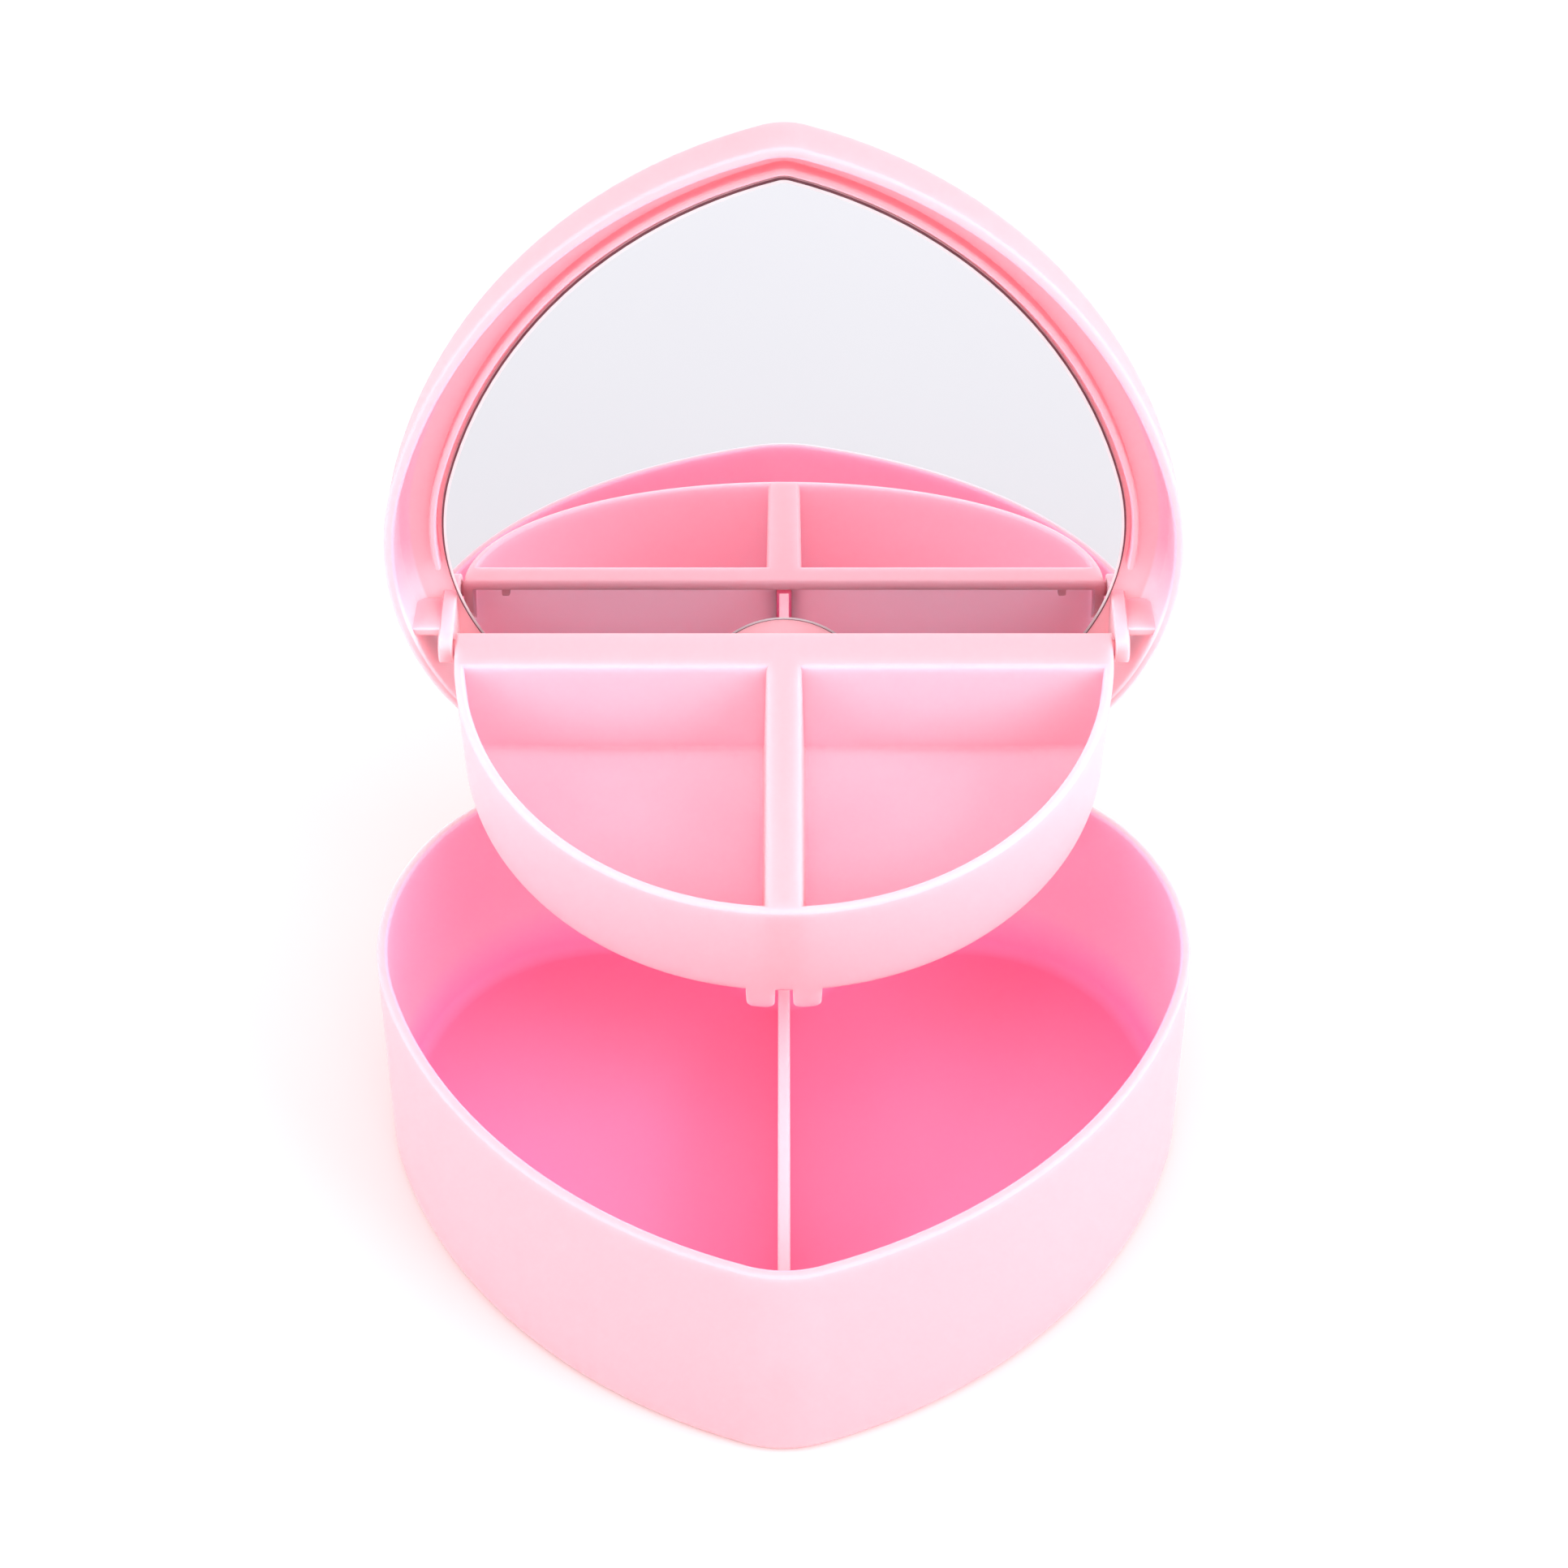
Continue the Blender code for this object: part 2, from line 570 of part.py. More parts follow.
clear_scene()
pink = plastic("pink_plastic", (0.96, 0.58, 0.70), 0.42)
build_base(pink)
build_hinge_pins(plastic("pin_steel", (0.62, 0.62, 0.64), 0.3, 1.0))
lid_hinge = joint_empty("lid_hinge", (0.0, HINGE_Y, HINGE_Z), -LID_OPEN_ANGLE)
build_lid(plastic("pink_lid_plastic", (0.96, 0.58, 0.70), 0.42), lid_hinge)
tape = heart_plate(TAPE_INSET, TAPE_BACK - TAPE_THICKNESS, TAPE_BACK)
make_object("mirror_tape", tape, plastic("white_tape", (0.85, 0.85, 0.83), 0.8), lid_hinge)
glass = heart_plate(MIRROR_INSET, MIRROR_FACE, MIRROR_BACK, MIRROR_CHAMFER)
make_object("mirror", glass, plastic("mirror_glass", (0.86, 0.87, 0.89), 0.03, 1.0), lid_hinge)
pivot_place = (0.0, -PIVOT_REACH, -PIVOT_DROP)
tray_pivot = joint_empty("tray_pivot", pivot_place, LID_OPEN_ANGLE + TRAY_TILT, lid_hinge)
build_tray(plastic("pink_tray_plastic", (0.97, 0.62, 0.73), 0.42), tray_pivot)
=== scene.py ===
# %% [markdown]
# # A heart-shaped case with a mirror and a lift-up tray
# The real object is a pocket case of pink plastic. A deep heart-shaped base carries a lid on two
# hinges, the lid holds a heart of mirror glass, and a half-moon tray hangs on two lugs of the lid, so
# it rises as the case opens. The frame loaded here gives every piece its true size and place.
# The lesson models each moulding again with fine rounds, then gives it its finish.

# %% Load the frame
from math import acos, asin, atan2, cos, degrees, pi, radians, sin, sqrt, tan

import bmesh
import bpy
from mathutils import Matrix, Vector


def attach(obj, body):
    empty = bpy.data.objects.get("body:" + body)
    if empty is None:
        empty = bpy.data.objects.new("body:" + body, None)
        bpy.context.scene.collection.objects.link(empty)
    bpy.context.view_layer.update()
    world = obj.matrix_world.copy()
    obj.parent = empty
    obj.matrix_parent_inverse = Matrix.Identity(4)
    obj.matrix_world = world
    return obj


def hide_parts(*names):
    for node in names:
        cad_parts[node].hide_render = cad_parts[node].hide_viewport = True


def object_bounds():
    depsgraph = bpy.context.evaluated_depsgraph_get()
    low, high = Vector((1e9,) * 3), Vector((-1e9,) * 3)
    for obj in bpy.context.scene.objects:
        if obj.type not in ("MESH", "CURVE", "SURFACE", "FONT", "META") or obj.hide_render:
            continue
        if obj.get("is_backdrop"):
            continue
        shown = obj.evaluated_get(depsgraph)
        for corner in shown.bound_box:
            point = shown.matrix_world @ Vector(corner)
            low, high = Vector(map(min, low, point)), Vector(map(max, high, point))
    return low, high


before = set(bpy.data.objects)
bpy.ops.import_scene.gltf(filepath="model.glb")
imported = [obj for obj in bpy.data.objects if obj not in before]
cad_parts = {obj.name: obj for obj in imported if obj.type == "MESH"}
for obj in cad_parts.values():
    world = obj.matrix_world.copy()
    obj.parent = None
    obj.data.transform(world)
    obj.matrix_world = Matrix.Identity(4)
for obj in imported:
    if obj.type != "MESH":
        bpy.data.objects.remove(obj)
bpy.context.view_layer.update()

MM = 0.001
bpy.ops.object.select_all(action="DESELECT")

# %% [markdown]
# ## The camera first
# The picture looks down at the open case from straight in front. A long lens stands well back, so the
# case narrows only a little towards the lid. With the camera set first, every later step can be
# compared with the picture at once.

# %% Set the camera
CAMERA_PLACE = (0.0, -389.5 * MM, 388.0 * MM)
CAMERA_PITCH = radians(39.64)
LENS = 81.0
SENSOR_WIDTH = 36.0

bpy.ops.object.camera_add(location=CAMERA_PLACE, rotation=(pi / 2 - CAMERA_PITCH, 0.0, 0.0))
camera = bpy.context.object
camera.name = "photo_camera"
camera.data.lens = LENS
camera.data.sensor_width = SENSOR_WIDTH
bpy.context.scene.camera = camera
print("camera at", [round(c, 3) for c in camera.location], "lens", camera.data.lens)

# %% [markdown]
# ## Working on one piece at a time
# Blender's operators act on whatever is selected. By hand one clicks. A script clears the selection and
# then picks points, edges or faces by where they are. These helpers do that and count what they found.

# %% Select one piece
TINY = 0.002 * MM


def clear_selection():
    """Leave edit mode and select nothing."""
    if bpy.context.mode != "OBJECT":
        bpy.ops.object.mode_set(mode="OBJECT")
    bpy.ops.object.select_all(action="DESELECT")


def only(piece):
    """Make one object the only selected and active one."""
    clear_selection()
    piece.select_set(True)
    bpy.context.view_layer.objects.active = piece


def edit(piece):
    """Open one object alone in edit mode, with its whole mesh selected."""
    only(piece)
    bpy.ops.object.mode_set(mode="EDIT")
    bpy.ops.mesh.select_all(action="SELECT")


def open_new(name):
    """Name the object that was just added and open it in edit mode."""
    piece = bpy.context.object
    piece.name = name
    piece.data.name = name
    bpy.ops.object.mode_set(mode="EDIT")
    return piece


print("places are compared to within", round(TINY / MM, 4), "mm")


# %% Pick by place
def pick(piece, kind, test):
    """Select the piece's verts, edges or faces that pass a test, and count them."""
    kinds = ("verts", "edges", "faces")
    bpy.context.tool_settings.mesh_select_mode = tuple(kind == name for name in kinds)
    bpy.ops.mesh.select_all(action="DESELECT")
    mesh = bmesh.from_edit_mesh(piece.data)
    found = [item for item in getattr(mesh, kind) if test(item)]
    for item in found:
        item.select_set(True)
    bmesh.update_edit_mesh(piece.data)
    return len(found)


# %% [markdown]
# ## Drawing a heart with a compass
# The outline is a chain of arcs that run smoothly into one another: the cleft, a lobe, the side, the
# flank and the tip. A few sizes fix them all, because each arc's centre lies on one line with its
# neighbour's centre and the point where they meet. The lid's flank and tip bend more than the base's.

# %% Find the arcs
CASE_WIDTH = 120.8 * MM
TIP_REACH = 68.6 * MM
LOBE_REACH = 37.2 * MM
CLEFT_DEPTH = 13.4 * MM
CLEFT_RADIUS = 4.0 * MM
SIDE_RADIUS = 43.0 * MM
FLANK_RADIUS = 85.0 * MM
TIP_RADIUS = 17.0 * MM
LID_TIP_REACH = 67.2 * MM
LID_FLANK_RADIUS = 80.0 * MM
LID_TIP_RADIUS = 12.0 * MM
SIDE_CENTRE = (CASE_WIDTH / 2 - SIDE_RADIUS, 0.0)


def heading(start, end):
    """Direction from one arc's centre to another's."""
    return atan2(end[1] - start[1], end[0] - start[0])


def heart_arcs(tip_reach, flank_radius, tip_radius):
    """Tangent arcs of the right half, cleft to tip: centre, first and last direction, steps."""
    side = SIDE_CENTRE
    tip = (0.0, tip_radius - tip_reach)
    to_side = flank_radius - SIDE_RADIUS
    to_tip = flank_radius - tip_radius
    span = sqrt(side[0] ** 2 + tip[1] ** 2)
    bend = acos((to_side ** 2 + span ** 2 - to_tip ** 2) / (2 * to_side * span))
    turned = atan2(tip[1], -side[0]) - bend
    flank = (side[0] + to_side * cos(turned), to_side * sin(turned))
    spare = SIDE_RADIUS - LOBE_REACH
    a = 1 + spare / CLEFT_DEPTH
    c = side[0] ** 2 + LOBE_REACH ** 2 - SIDE_RADIUS ** 2 + spare * (CLEFT_DEPTH - 2 * CLEFT_RADIUS)
    lobe_x = (side[0] + sqrt(side[0] ** 2 - a * c)) / a
    lobe_radius = lobe_x ** 2 / (2 * CLEFT_DEPTH) + CLEFT_DEPTH / 2 - CLEFT_RADIUS
    lobe = (lobe_x, LOBE_REACH - lobe_radius)
    cleft = (0.0, LOBE_REACH - CLEFT_DEPTH + CLEFT_RADIUS)
    return {
        "cleft": (cleft, -pi / 2, heading(cleft, lobe), 10),
        "lobe": (lobe, heading(cleft, lobe) + pi, heading(side, lobe), 30),
        "side": (side, heading(side, lobe), heading(flank, side), 20),
        "flank": (flank, heading(flank, side), heading(flank, tip), 24),
        "tip": (tip, heading(flank, tip), -pi / 2, 12),
    }


BASE_HEART = heart_arcs(TIP_REACH, FLANK_RADIUS, TIP_RADIUS)
LID_HEART = heart_arcs(LID_TIP_REACH, LID_FLANK_RADIUS, LID_TIP_RADIUS)
LOBE_X = BASE_HEART["lobe"][0][0]
for name, (centre, first, last, steps) in BASE_HEART.items():
    turn = round(degrees(last - first))
    print(name, "centre in mm:", [round(c / MM, 1) for c in centre], "turns", turn, "in", steps, "steps")

# %% [markdown]
# A curve object could be bent to the arcs by eye, but Spin swings a single point about a centre exactly
# as a compass does. It starts from a small plane that is merged into one point. Spin counts a positive
# angle clockwise, so the helper turns it round.


# %% Swing a point like a compass
def start_point(name, place):
    """One point to draw from: a small plane merged into its middle and moved to its place."""
    clear_selection()
    bpy.context.tool_settings.mesh_select_mode = (True, False, False)
    bpy.ops.mesh.primitive_plane_add(size=MM)
    piece = open_new(name)
    bpy.ops.mesh.merge(type="CENTER")
    bpy.ops.transform.translate(value=place)
    return piece


def swing(centre, turn, steps, axis=(0, 0, 1)):
    """Swing the last point about a centre; a positive turn goes anticlockwise."""
    bpy.ops.mesh.spin(steps=steps, angle=-turn, center=centre, axis=axis)


def swing_arc(arc, height, back=False):
    """Swing the last point along one arc of a heart, forwards or back."""
    centre, first, last, steps = arc
    turn = first - last if back else last - first
    swing((*centre, height), turn, steps)


# %% [markdown]
# Only the right half is drawn, because both halves of the case are alike. A Mirror modifier adds the
# left half and joins them on the middle line, and the closed outline is filled with one face.


# %% Mirror and fill a heart
def mirror_and_fill(piece):
    """Add the left half, close the outline and fill it with one face."""
    only(piece)
    bpy.ops.object.modifier_add(type="MIRROR")
    mirror = piece.modifiers[-1]
    mirror.merge_threshold = TINY
    bpy.ops.object.modifier_apply(modifier=mirror.name)
    edit(piece)
    bpy.ops.mesh.edge_face_add()


def draw_heart(name, arcs, inset, height):
    """A flat heart, set in from its outline, open in edit mode with its face selected."""
    heart = start_point(name, (0.0, LOBE_REACH - CLEFT_DEPTH - inset, height))
    for arc in arcs.values():
        swing_arc(arc, height)
    mirror_and_fill(heart)
    return heart


# %% [markdown]
# ## The base
# The base is a tub with thin walls that lean out a little, so it could leave its mould. It could be a
# block with a second block cut out of it. Extrude and Inset do the same without a Boolean: the heart is
# pulled up, its top face is inset by the wall and pushed down again to the floor.

# %% Round the sharp edges
SHARP = radians(30)


def round_edges(piece, radius, segments, test):
    """Bevel the sharp edges that pass a test into a round."""
    count = pick(piece, "edges", lambda e: e.calc_face_angle(0.0) > SHARP and test(e))
    bpy.ops.mesh.bevel(offset=radius, segments=segments, profile=0.5, affect="EDGES")
    return count


def at_height(height):
    """A test for edges that lie at one height."""
    return lambda edge: all(abs(v.co.z - height) < TINY for v in edge.verts)


def extrude(*step):
    """Extrude the selected faces by a step along X, Y and Z."""
    bpy.ops.mesh.extrude_region_move(TRANSFORM_OT_translate={"value": step})


print("edges that turn more than", round(degrees(SHARP)), "degrees are sharp")

# %% [markdown]
# Bevels then round the foot, the rim and the inner corner. Each round is a bevel on the sharp edges at
# one height. The same helper makes the lid later, whose rim lies below its flat face.

# %% Shape a heart-shaped tub
DRAFT = radians(0.5)
RIM_ROUND = 0.45 * MM


def heart_tub(name, arcs, foot, rim, wall, floor, foot_round, corner_round):
    """An open tub from its flat foot to its rim, which may lie above the foot or below it."""
    rise = rim - foot
    way = 1 if rise > 0 else -1
    lean = abs(rise) * tan(DRAFT)
    grow = 1 + 2 * lean / CASE_WIDTH
    middle = (0.0, (LOBE_REACH - TIP_REACH) / 2, rim)
    tub = draw_heart(name, arcs, lean, foot)
    extrude(0, 0, rise)
    bpy.ops.transform.resize(value=(grow, grow, 1), center_override=middle)
    bpy.ops.mesh.inset(thickness=wall)
    extrude(0, 0, way * floor - rise)
    bpy.ops.transform.resize(value=(1 / grow, 1 / grow, 1), center_override=middle)
    round_edges(tub, foot_round, 5, at_height(foot))
    round_edges(tub, RIM_ROUND, 3, at_height(rim))
    round_edges(tub, corner_round, 6, at_height(foot + way * floor))
    return tub


# %% Shape the base
BASE_HEIGHT = 36.4 * MM
BASE_WALL = 1.6 * MM
BASE_FLOOR = 1.6 * MM
BASE_FOOT_ROUND = 1.6 * MM
BASE_CORNER_ROUND = 2.0 * MM

base = heart_tub("pink_base", BASE_HEART, 0.0, BASE_HEIGHT, BASE_WALL, BASE_FLOOR,
                 BASE_FOOT_ROUND, BASE_CORNER_ROUND)
print("base outline points:", pick(base, "verts", lambda v: abs(v.co.z) < TINY))

# %% [markdown]
# The base's divider is a low wall from the tip to the cleft. It could be drawn in the floor and pulled
# up, but that would cut the floor's one large face. It is a box with softened top edges instead, sunk
# into floor and walls and joined by a Boolean, so that the two become one moulding.


# %% Add boxes and join them
def add_box(name, low, high):
    """A cube made to span two corners, open in edit mode."""
    clear_selection()
    middle = [(a + b) / 2 for a, b in zip(low, high)]
    bpy.ops.mesh.primitive_cube_add(size=1.0)
    box = open_new(name)
    bpy.ops.transform.resize(value=[b - a for a, b in zip(low, high)])
    bpy.ops.transform.translate(value=middle)
    return box


def combine(piece, tool, operation):
    """Join a tool to a piece, or cut it out, and throw the tool away."""
    only(piece)
    bpy.ops.object.modifier_add(type="BOOLEAN")
    change = piece.modifiers[-1]
    change.operation = operation
    change.object = tool
    change.solver = "EXACT"
    bpy.ops.object.modifier_apply(modifier=change.name)
    bpy.data.objects.remove(tool)


# %% Add the divider
DIVIDER_THICKNESS = 1.8 * MM
DIVIDER_TOP = 18.16 * MM
DIVIDER_ROUND = 0.35 * MM

into_wall = BASE_WALL / 2 + BASE_HEIGHT * tan(DRAFT)
divider = add_box(
    "divider_wall",
    (-DIVIDER_THICKNESS / 2, into_wall - TIP_REACH, BASE_FLOOR / 2),
    (DIVIDER_THICKNESS / 2, LOBE_REACH - CLEFT_DEPTH - into_wall, DIVIDER_TOP),
)
print("divider edges rounded:", round_edges(divider, DIVIDER_ROUND, 3, at_height(DIVIDER_TOP)))
combine(base, divider, "UNION")

# %% [markdown]
# ## The hinges
# At the back of each lobe the base has a bracket with two ears, and a knuckle of the lid turns between
# them on a steel pin. All the round parts are bars along one axis, so one helper adds them all. Their
# ends can be softened.

# %% Add round bars
BAR_SIDES = 64


def keeps_x(edge):
    """True for an edge whose two ends have the same X."""
    return abs(edge.verts[0].co.x - edge.verts[1].co.x) < TINY


def add_bar(name, radius, low, high, y, z, end_round=0.0):
    """A round bar along X, its ends softened where a round is given, open in edit mode."""
    clear_selection()
    place = ((low + high) / 2, y, z)
    bpy.ops.mesh.primitive_cylinder_add(vertices=BAR_SIDES, radius=radius, depth=high - low,
                                        location=place, rotation=(0.0, pi / 2, 0.0))
    bpy.ops.object.transform_apply(location=True, rotation=True, scale=True)
    bar = open_new(name)
    if end_round:
        round_edges(bar, end_round, 3, keeps_x)
    return bar


# %% [markdown]
# The bracket is a box. Its top slopes at the angle of the open lid, and its lower edge is bevelled into a
# ramp that runs out into the wall. The ears are bars, and the gap for the knuckle and the bore for the
# pin are cut last.

# %% Shape one bracket
HINGE_Y = 38.2 * MM
HINGE_Z = 36.55 * MM
HINGE_WIDTH = 14.0 * MM
WALL_BITE = 1.6 * MM
BRACKET_DROP = 10.0 * MM
BRACKET_BACK = 4.2 * MM
RAMP_SHORT = 0.6 * MM
STOP_DROP = 1.3 * MM
OPEN_ANGLE = radians(95)
EDGE_SOFT = 0.3 * MM


def add_bracket(middle):
    """The bracket behind one lobe, with its sloping top and its ramp."""
    half = HINGE_WIDTH / 2
    top = HINGE_Z - STOP_DROP
    back = HINGE_Y + BRACKET_BACK
    bracket = add_box("bracket", (middle - half, HINGE_Y - WALL_BITE, HINGE_Z - BRACKET_DROP),
                      (middle + half, back, top))
    pick(bracket, "verts", lambda v: v.co.z > top - TINY and v.co.y > back - TINY)
    bpy.ops.transform.translate(value=(0, 0, -BRACKET_BACK * tan(OPEN_ANGLE - pi / 2)))
    ramp = BRACKET_BACK + WALL_BITE - RAMP_SHORT
    pick(bracket, "edges", lambda e: all(v.co.z < top - ramp and v.co.y > back - TINY for v in e.verts))
    bpy.ops.mesh.bevel(offset=ramp, segments=1, affect="EDGES")
    round_edges(bracket, EDGE_SOFT, 2, lambda e: any(v.co.y > HINGE_Y for v in e.verts))
    combine(base, bracket, "UNION")


# %% Add the base's hinges
BARREL_RADIUS = 2.3 * MM
KNUCKLE_WIDTH = 5.8 * MM
PIN_BORE = 0.95 * MM
SIDE_GAP = 0.3 * MM
SWING_GAP = 0.35 * MM


def base_hinge(middle):
    """Bracket, ears, knuckle gap and pin bore at the back of one lobe."""
    half = HINGE_WIDTH / 2
    gap = KNUCKLE_WIDTH / 2 + SIDE_GAP
    add_bracket(middle)
    for low, high in ((-half, -gap), (gap, half)):
        ear = add_bar("ear", BARREL_RADIUS, middle + low, middle + high, HINGE_Y, HINGE_Z, EDGE_SOFT)
        combine(base, ear, "UNION")
    swept = add_bar("swept", BARREL_RADIUS + SWING_GAP, middle - gap, middle + gap, HINGE_Y, HINGE_Z)
    combine(base, swept, "DIFFERENCE")
    bore = add_bar("bore", PIN_BORE, middle - half - MM, middle + half + MM, HINGE_Y, HINGE_Z)
    combine(base, bore, "DIFFERENCE")


for side in (-1, 1):
    base_hinge(side * LOBE_X)
print("hinges at X in mm:", [round(side * LOBE_X / MM, 1) for side in (-1, 1)])

# %% [markdown]
# Every moulding is finished in the same way. Points that fell together are merged, and the faces are
# turned outwards. Smooth shading alone would bend the light across large flat faces, so a Weighted
# Normal modifier keeps them flat and leaves the shading to the small rounds.

# %% Finish the base
CREASE = radians(38)
LARGE_FACES_FIRST = 75


def face_outwards():
    """Select the whole open mesh and turn its faces outwards."""
    bpy.ops.mesh.select_all(action="SELECT")
    bpy.ops.mesh.normals_make_consistent(inside=False)


def finish_mesh(piece, angle=CREASE):
    """Merge doubles, face outwards, and shade smooth with the large faces kept flat."""
    edit(piece)
    bpy.ops.mesh.remove_doubles(threshold=TINY / 2)
    bpy.ops.mesh.dissolve_degenerate(threshold=TINY)
    face_outwards()
    only(piece)
    bpy.ops.object.shade_smooth_by_angle(angle=angle)
    bpy.ops.object.modifier_add(type="WEIGHTED_NORMAL")
    weighted = piece.modifiers[-1]
    weighted.keep_sharp = True
    weighted.weight = LARGE_FACES_FIRST
    bpy.ops.object.modifier_apply(modifier=weighted.name)
    print(piece.name, "has", len(piece.data.polygons), "faces")


finish_mesh(base)

# %% [markdown]
# ## The lid
# The lid is the same kind of tub, shallow and upside down. It is easiest to model closed, where its rim
# lies level on the base, and to turn it open about the hinge at the end. All that follows in this part
# is therefore drawn with the case shut.

# %% Shape the lid
CLOSED_GAP = 0.15 * MM
LID_RIM = HINGE_Z + CLOSED_GAP
LID_DEPTH = 11.0 * MM
LID_WALL = 1.6 * MM
LID_PLATE = 1.5 * MM
LID_TOP_ROUND = 2.4 * MM
LID_CORNER_ROUND = 1.6 * MM
LID_TOP = LID_RIM + LID_DEPTH
PLATE_FACE = LID_TOP - LID_PLATE
PLATE_BITE = PLATE_FACE + LID_PLATE / 2

lid = heart_tub("pink_lid", LID_HEART, LID_TOP, LID_RIM, LID_WALL, LID_PLATE,
                LID_TOP_ROUND, LID_CORNER_ROUND)
print("closed lid in mm from", round(LID_RIM / MM, 2), "up to", round(LID_TOP / MM, 2))

# %% [markdown]
# A thin rib follows the mirror's edge from one side, round the tip, to the other, and ends in a round.
# The compass draws it too: out along the outer line, half a turn about its end, and back along the
# inner line.

# %% Add the rib round the mirror
MIRROR_INSET = 8.1 * MM
MIRROR_FACE = HINGE_Z + 7.85 * MM
RIB_WIDTH = 1.1 * MM
RIB_GAP = 0.7 * MM
RIB_RISE = 1.1 * MM
RIB_END = 5.4 * MM
RIB_END_STEPS = 10
RIB_ROUND = 0.35 * MM


def draw_rib():
    """The rib's outline, drawn at its crest and pulled up into the lid's plate."""
    inner = MIRROR_INSET - RIB_GAP
    outer = inner - RIB_WIDTH
    crest = MIRROR_FACE - RIB_RISE
    radius = SIDE_RADIUS - (inner + outer) / 2
    side_x, side_y = SIDE_CENTRE
    end_turn = asin(RIB_END / radius)
    end = (side_x + radius * cos(end_turn), side_y + radius * sin(end_turn), crest)
    side = (SIDE_CENTRE, end_turn, *LID_HEART["side"][2:])
    rib = start_point("rib", (0.0, outer - LID_TIP_REACH, crest))
    for arc in (LID_HEART["tip"], LID_HEART["flank"], side):
        swing_arc(arc, crest, back=True)
    swing(end, pi, RIB_END_STEPS)
    for arc in (side, LID_HEART["flank"], LID_HEART["tip"]):
        swing_arc(arc, crest)
    mirror_and_fill(rib)
    extrude(0, 0, PLATE_BITE - crest)
    print("rib edges rounded:", round_edges(rib, RIB_ROUND, 3, at_height(crest)))
    face_outwards()
    return rib


combine(lid, draw_rib(), "UNION")

# %% [markdown]
# Two lugs stand up from the lid's plate and carry the tray on their round noses. Each is a flat plate
# drawn from the side: half a turn about the pivot, two straight edges to the root, then pulled sideways
# to its thickness.

# %% Draw a lug
PIVOT_Y = HINGE_Y - 23.24 * MM
PIVOT_Z = HINGE_Z - 0.79 * MM
LUG_NOSE = 2.3 * MM
LUG_NOSE_STEPS = 24
LUG_ROOT_NEAR = HINGE_Y - 16.5 * MM
LUG_ROOT_FAR = HINGE_Y - 27.2 * MM
LUG_INNER = 50.55 * MM
LUG_THICKNESS = 2.2 * MM


def on_side(side, near, far):
    """The ends of a stretch along X on the left, -1, or the right, 1, the lower one first."""
    return sorted((side * near, side * far))


def add_lug(side):
    """One lug, from its round nose to its root in the lid's plate."""
    low, high = on_side(side, LUG_INNER, LUG_INNER + LUG_THICKNESS)
    lug = start_point("lug", (low, PIVOT_Y - LUG_NOSE, PIVOT_Z))
    swing((low, PIVOT_Y, PIVOT_Z), pi, LUG_NOSE_STEPS, axis=(1, 0, 0))
    for step in ((LUG_ROOT_NEAR - PIVOT_Y - LUG_NOSE, PLATE_BITE - PIVOT_Z),
                 (LUG_ROOT_FAR - LUG_ROOT_NEAR, 0.0)):
        bpy.ops.mesh.extrude_vertices_move(TRANSFORM_OT_translate={"value": (0, *step)})
    bpy.ops.mesh.select_all(action="SELECT")
    bpy.ops.mesh.edge_face_add()
    extrude(high - low, 0, 0)
    face_outwards()
    at_root = at_height(PLATE_BITE)
    round_edges(lug, EDGE_SOFT, 3, lambda e: keeps_x(e) and not at_root(e))
    combine(lid, lug, "UNION")


# %% [markdown]
# A lug alone would bend, so a web ties each one to the lid's side wall. It is a box that is sunk into
# both. The hole for the tray's stud is drilled last, through the finished lug.

# %% Add the lugs and webs
STUD_HOLE = 1.35 * MM
WEB_Y = HINGE_Y - 25.0 * MM
WEB_THICKNESS = 1.3 * MM
WEB_BITE = 0.6 * MM
WEB_SHORT_OF_RIM = 0.6 * MM


def add_web(side):
    """The web from one lug to the lid's wall."""
    wall_x = SIDE_CENTRE[0] + sqrt((SIDE_RADIUS - LID_WALL / 2) ** 2 - WEB_Y ** 2)
    near, far = on_side(side, LUG_INNER + LUG_THICKNESS - WEB_BITE, wall_x)
    web = add_box("web", (near, WEB_Y - WEB_THICKNESS / 2, LID_RIM + WEB_SHORT_OF_RIM),
                  (far, WEB_Y + WEB_THICKNESS / 2, PLATE_BITE))
    round_edges(web, EDGE_SOFT, 3, at_height(LID_RIM + WEB_SHORT_OF_RIM))
    combine(lid, web, "UNION")


for side in (-1, 1):
    add_lug(side)
    add_web(side)
    low, high = on_side(side, LUG_INNER, LUG_INNER + LUG_THICKNESS)
    hole = add_bar("hole", STUD_HOLE, low - MM, high + MM, PIVOT_Y, PIVOT_Z)
    combine(lid, hole, "DIFFERENCE")
print("lid with its lugs has", len(lid.data.polygons), "faces")

# %% [markdown]
# The lid's half of each hinge is an arm with a knuckle at its foot. The lid's wall is first cleared
# round the base's ears, then arm and knuckle are joined on and bored for the pin.

# %% Add the lid's hinge arms
ARM_HEIGHT = 6.5 * MM
ARM_BACK = 1.0 * MM


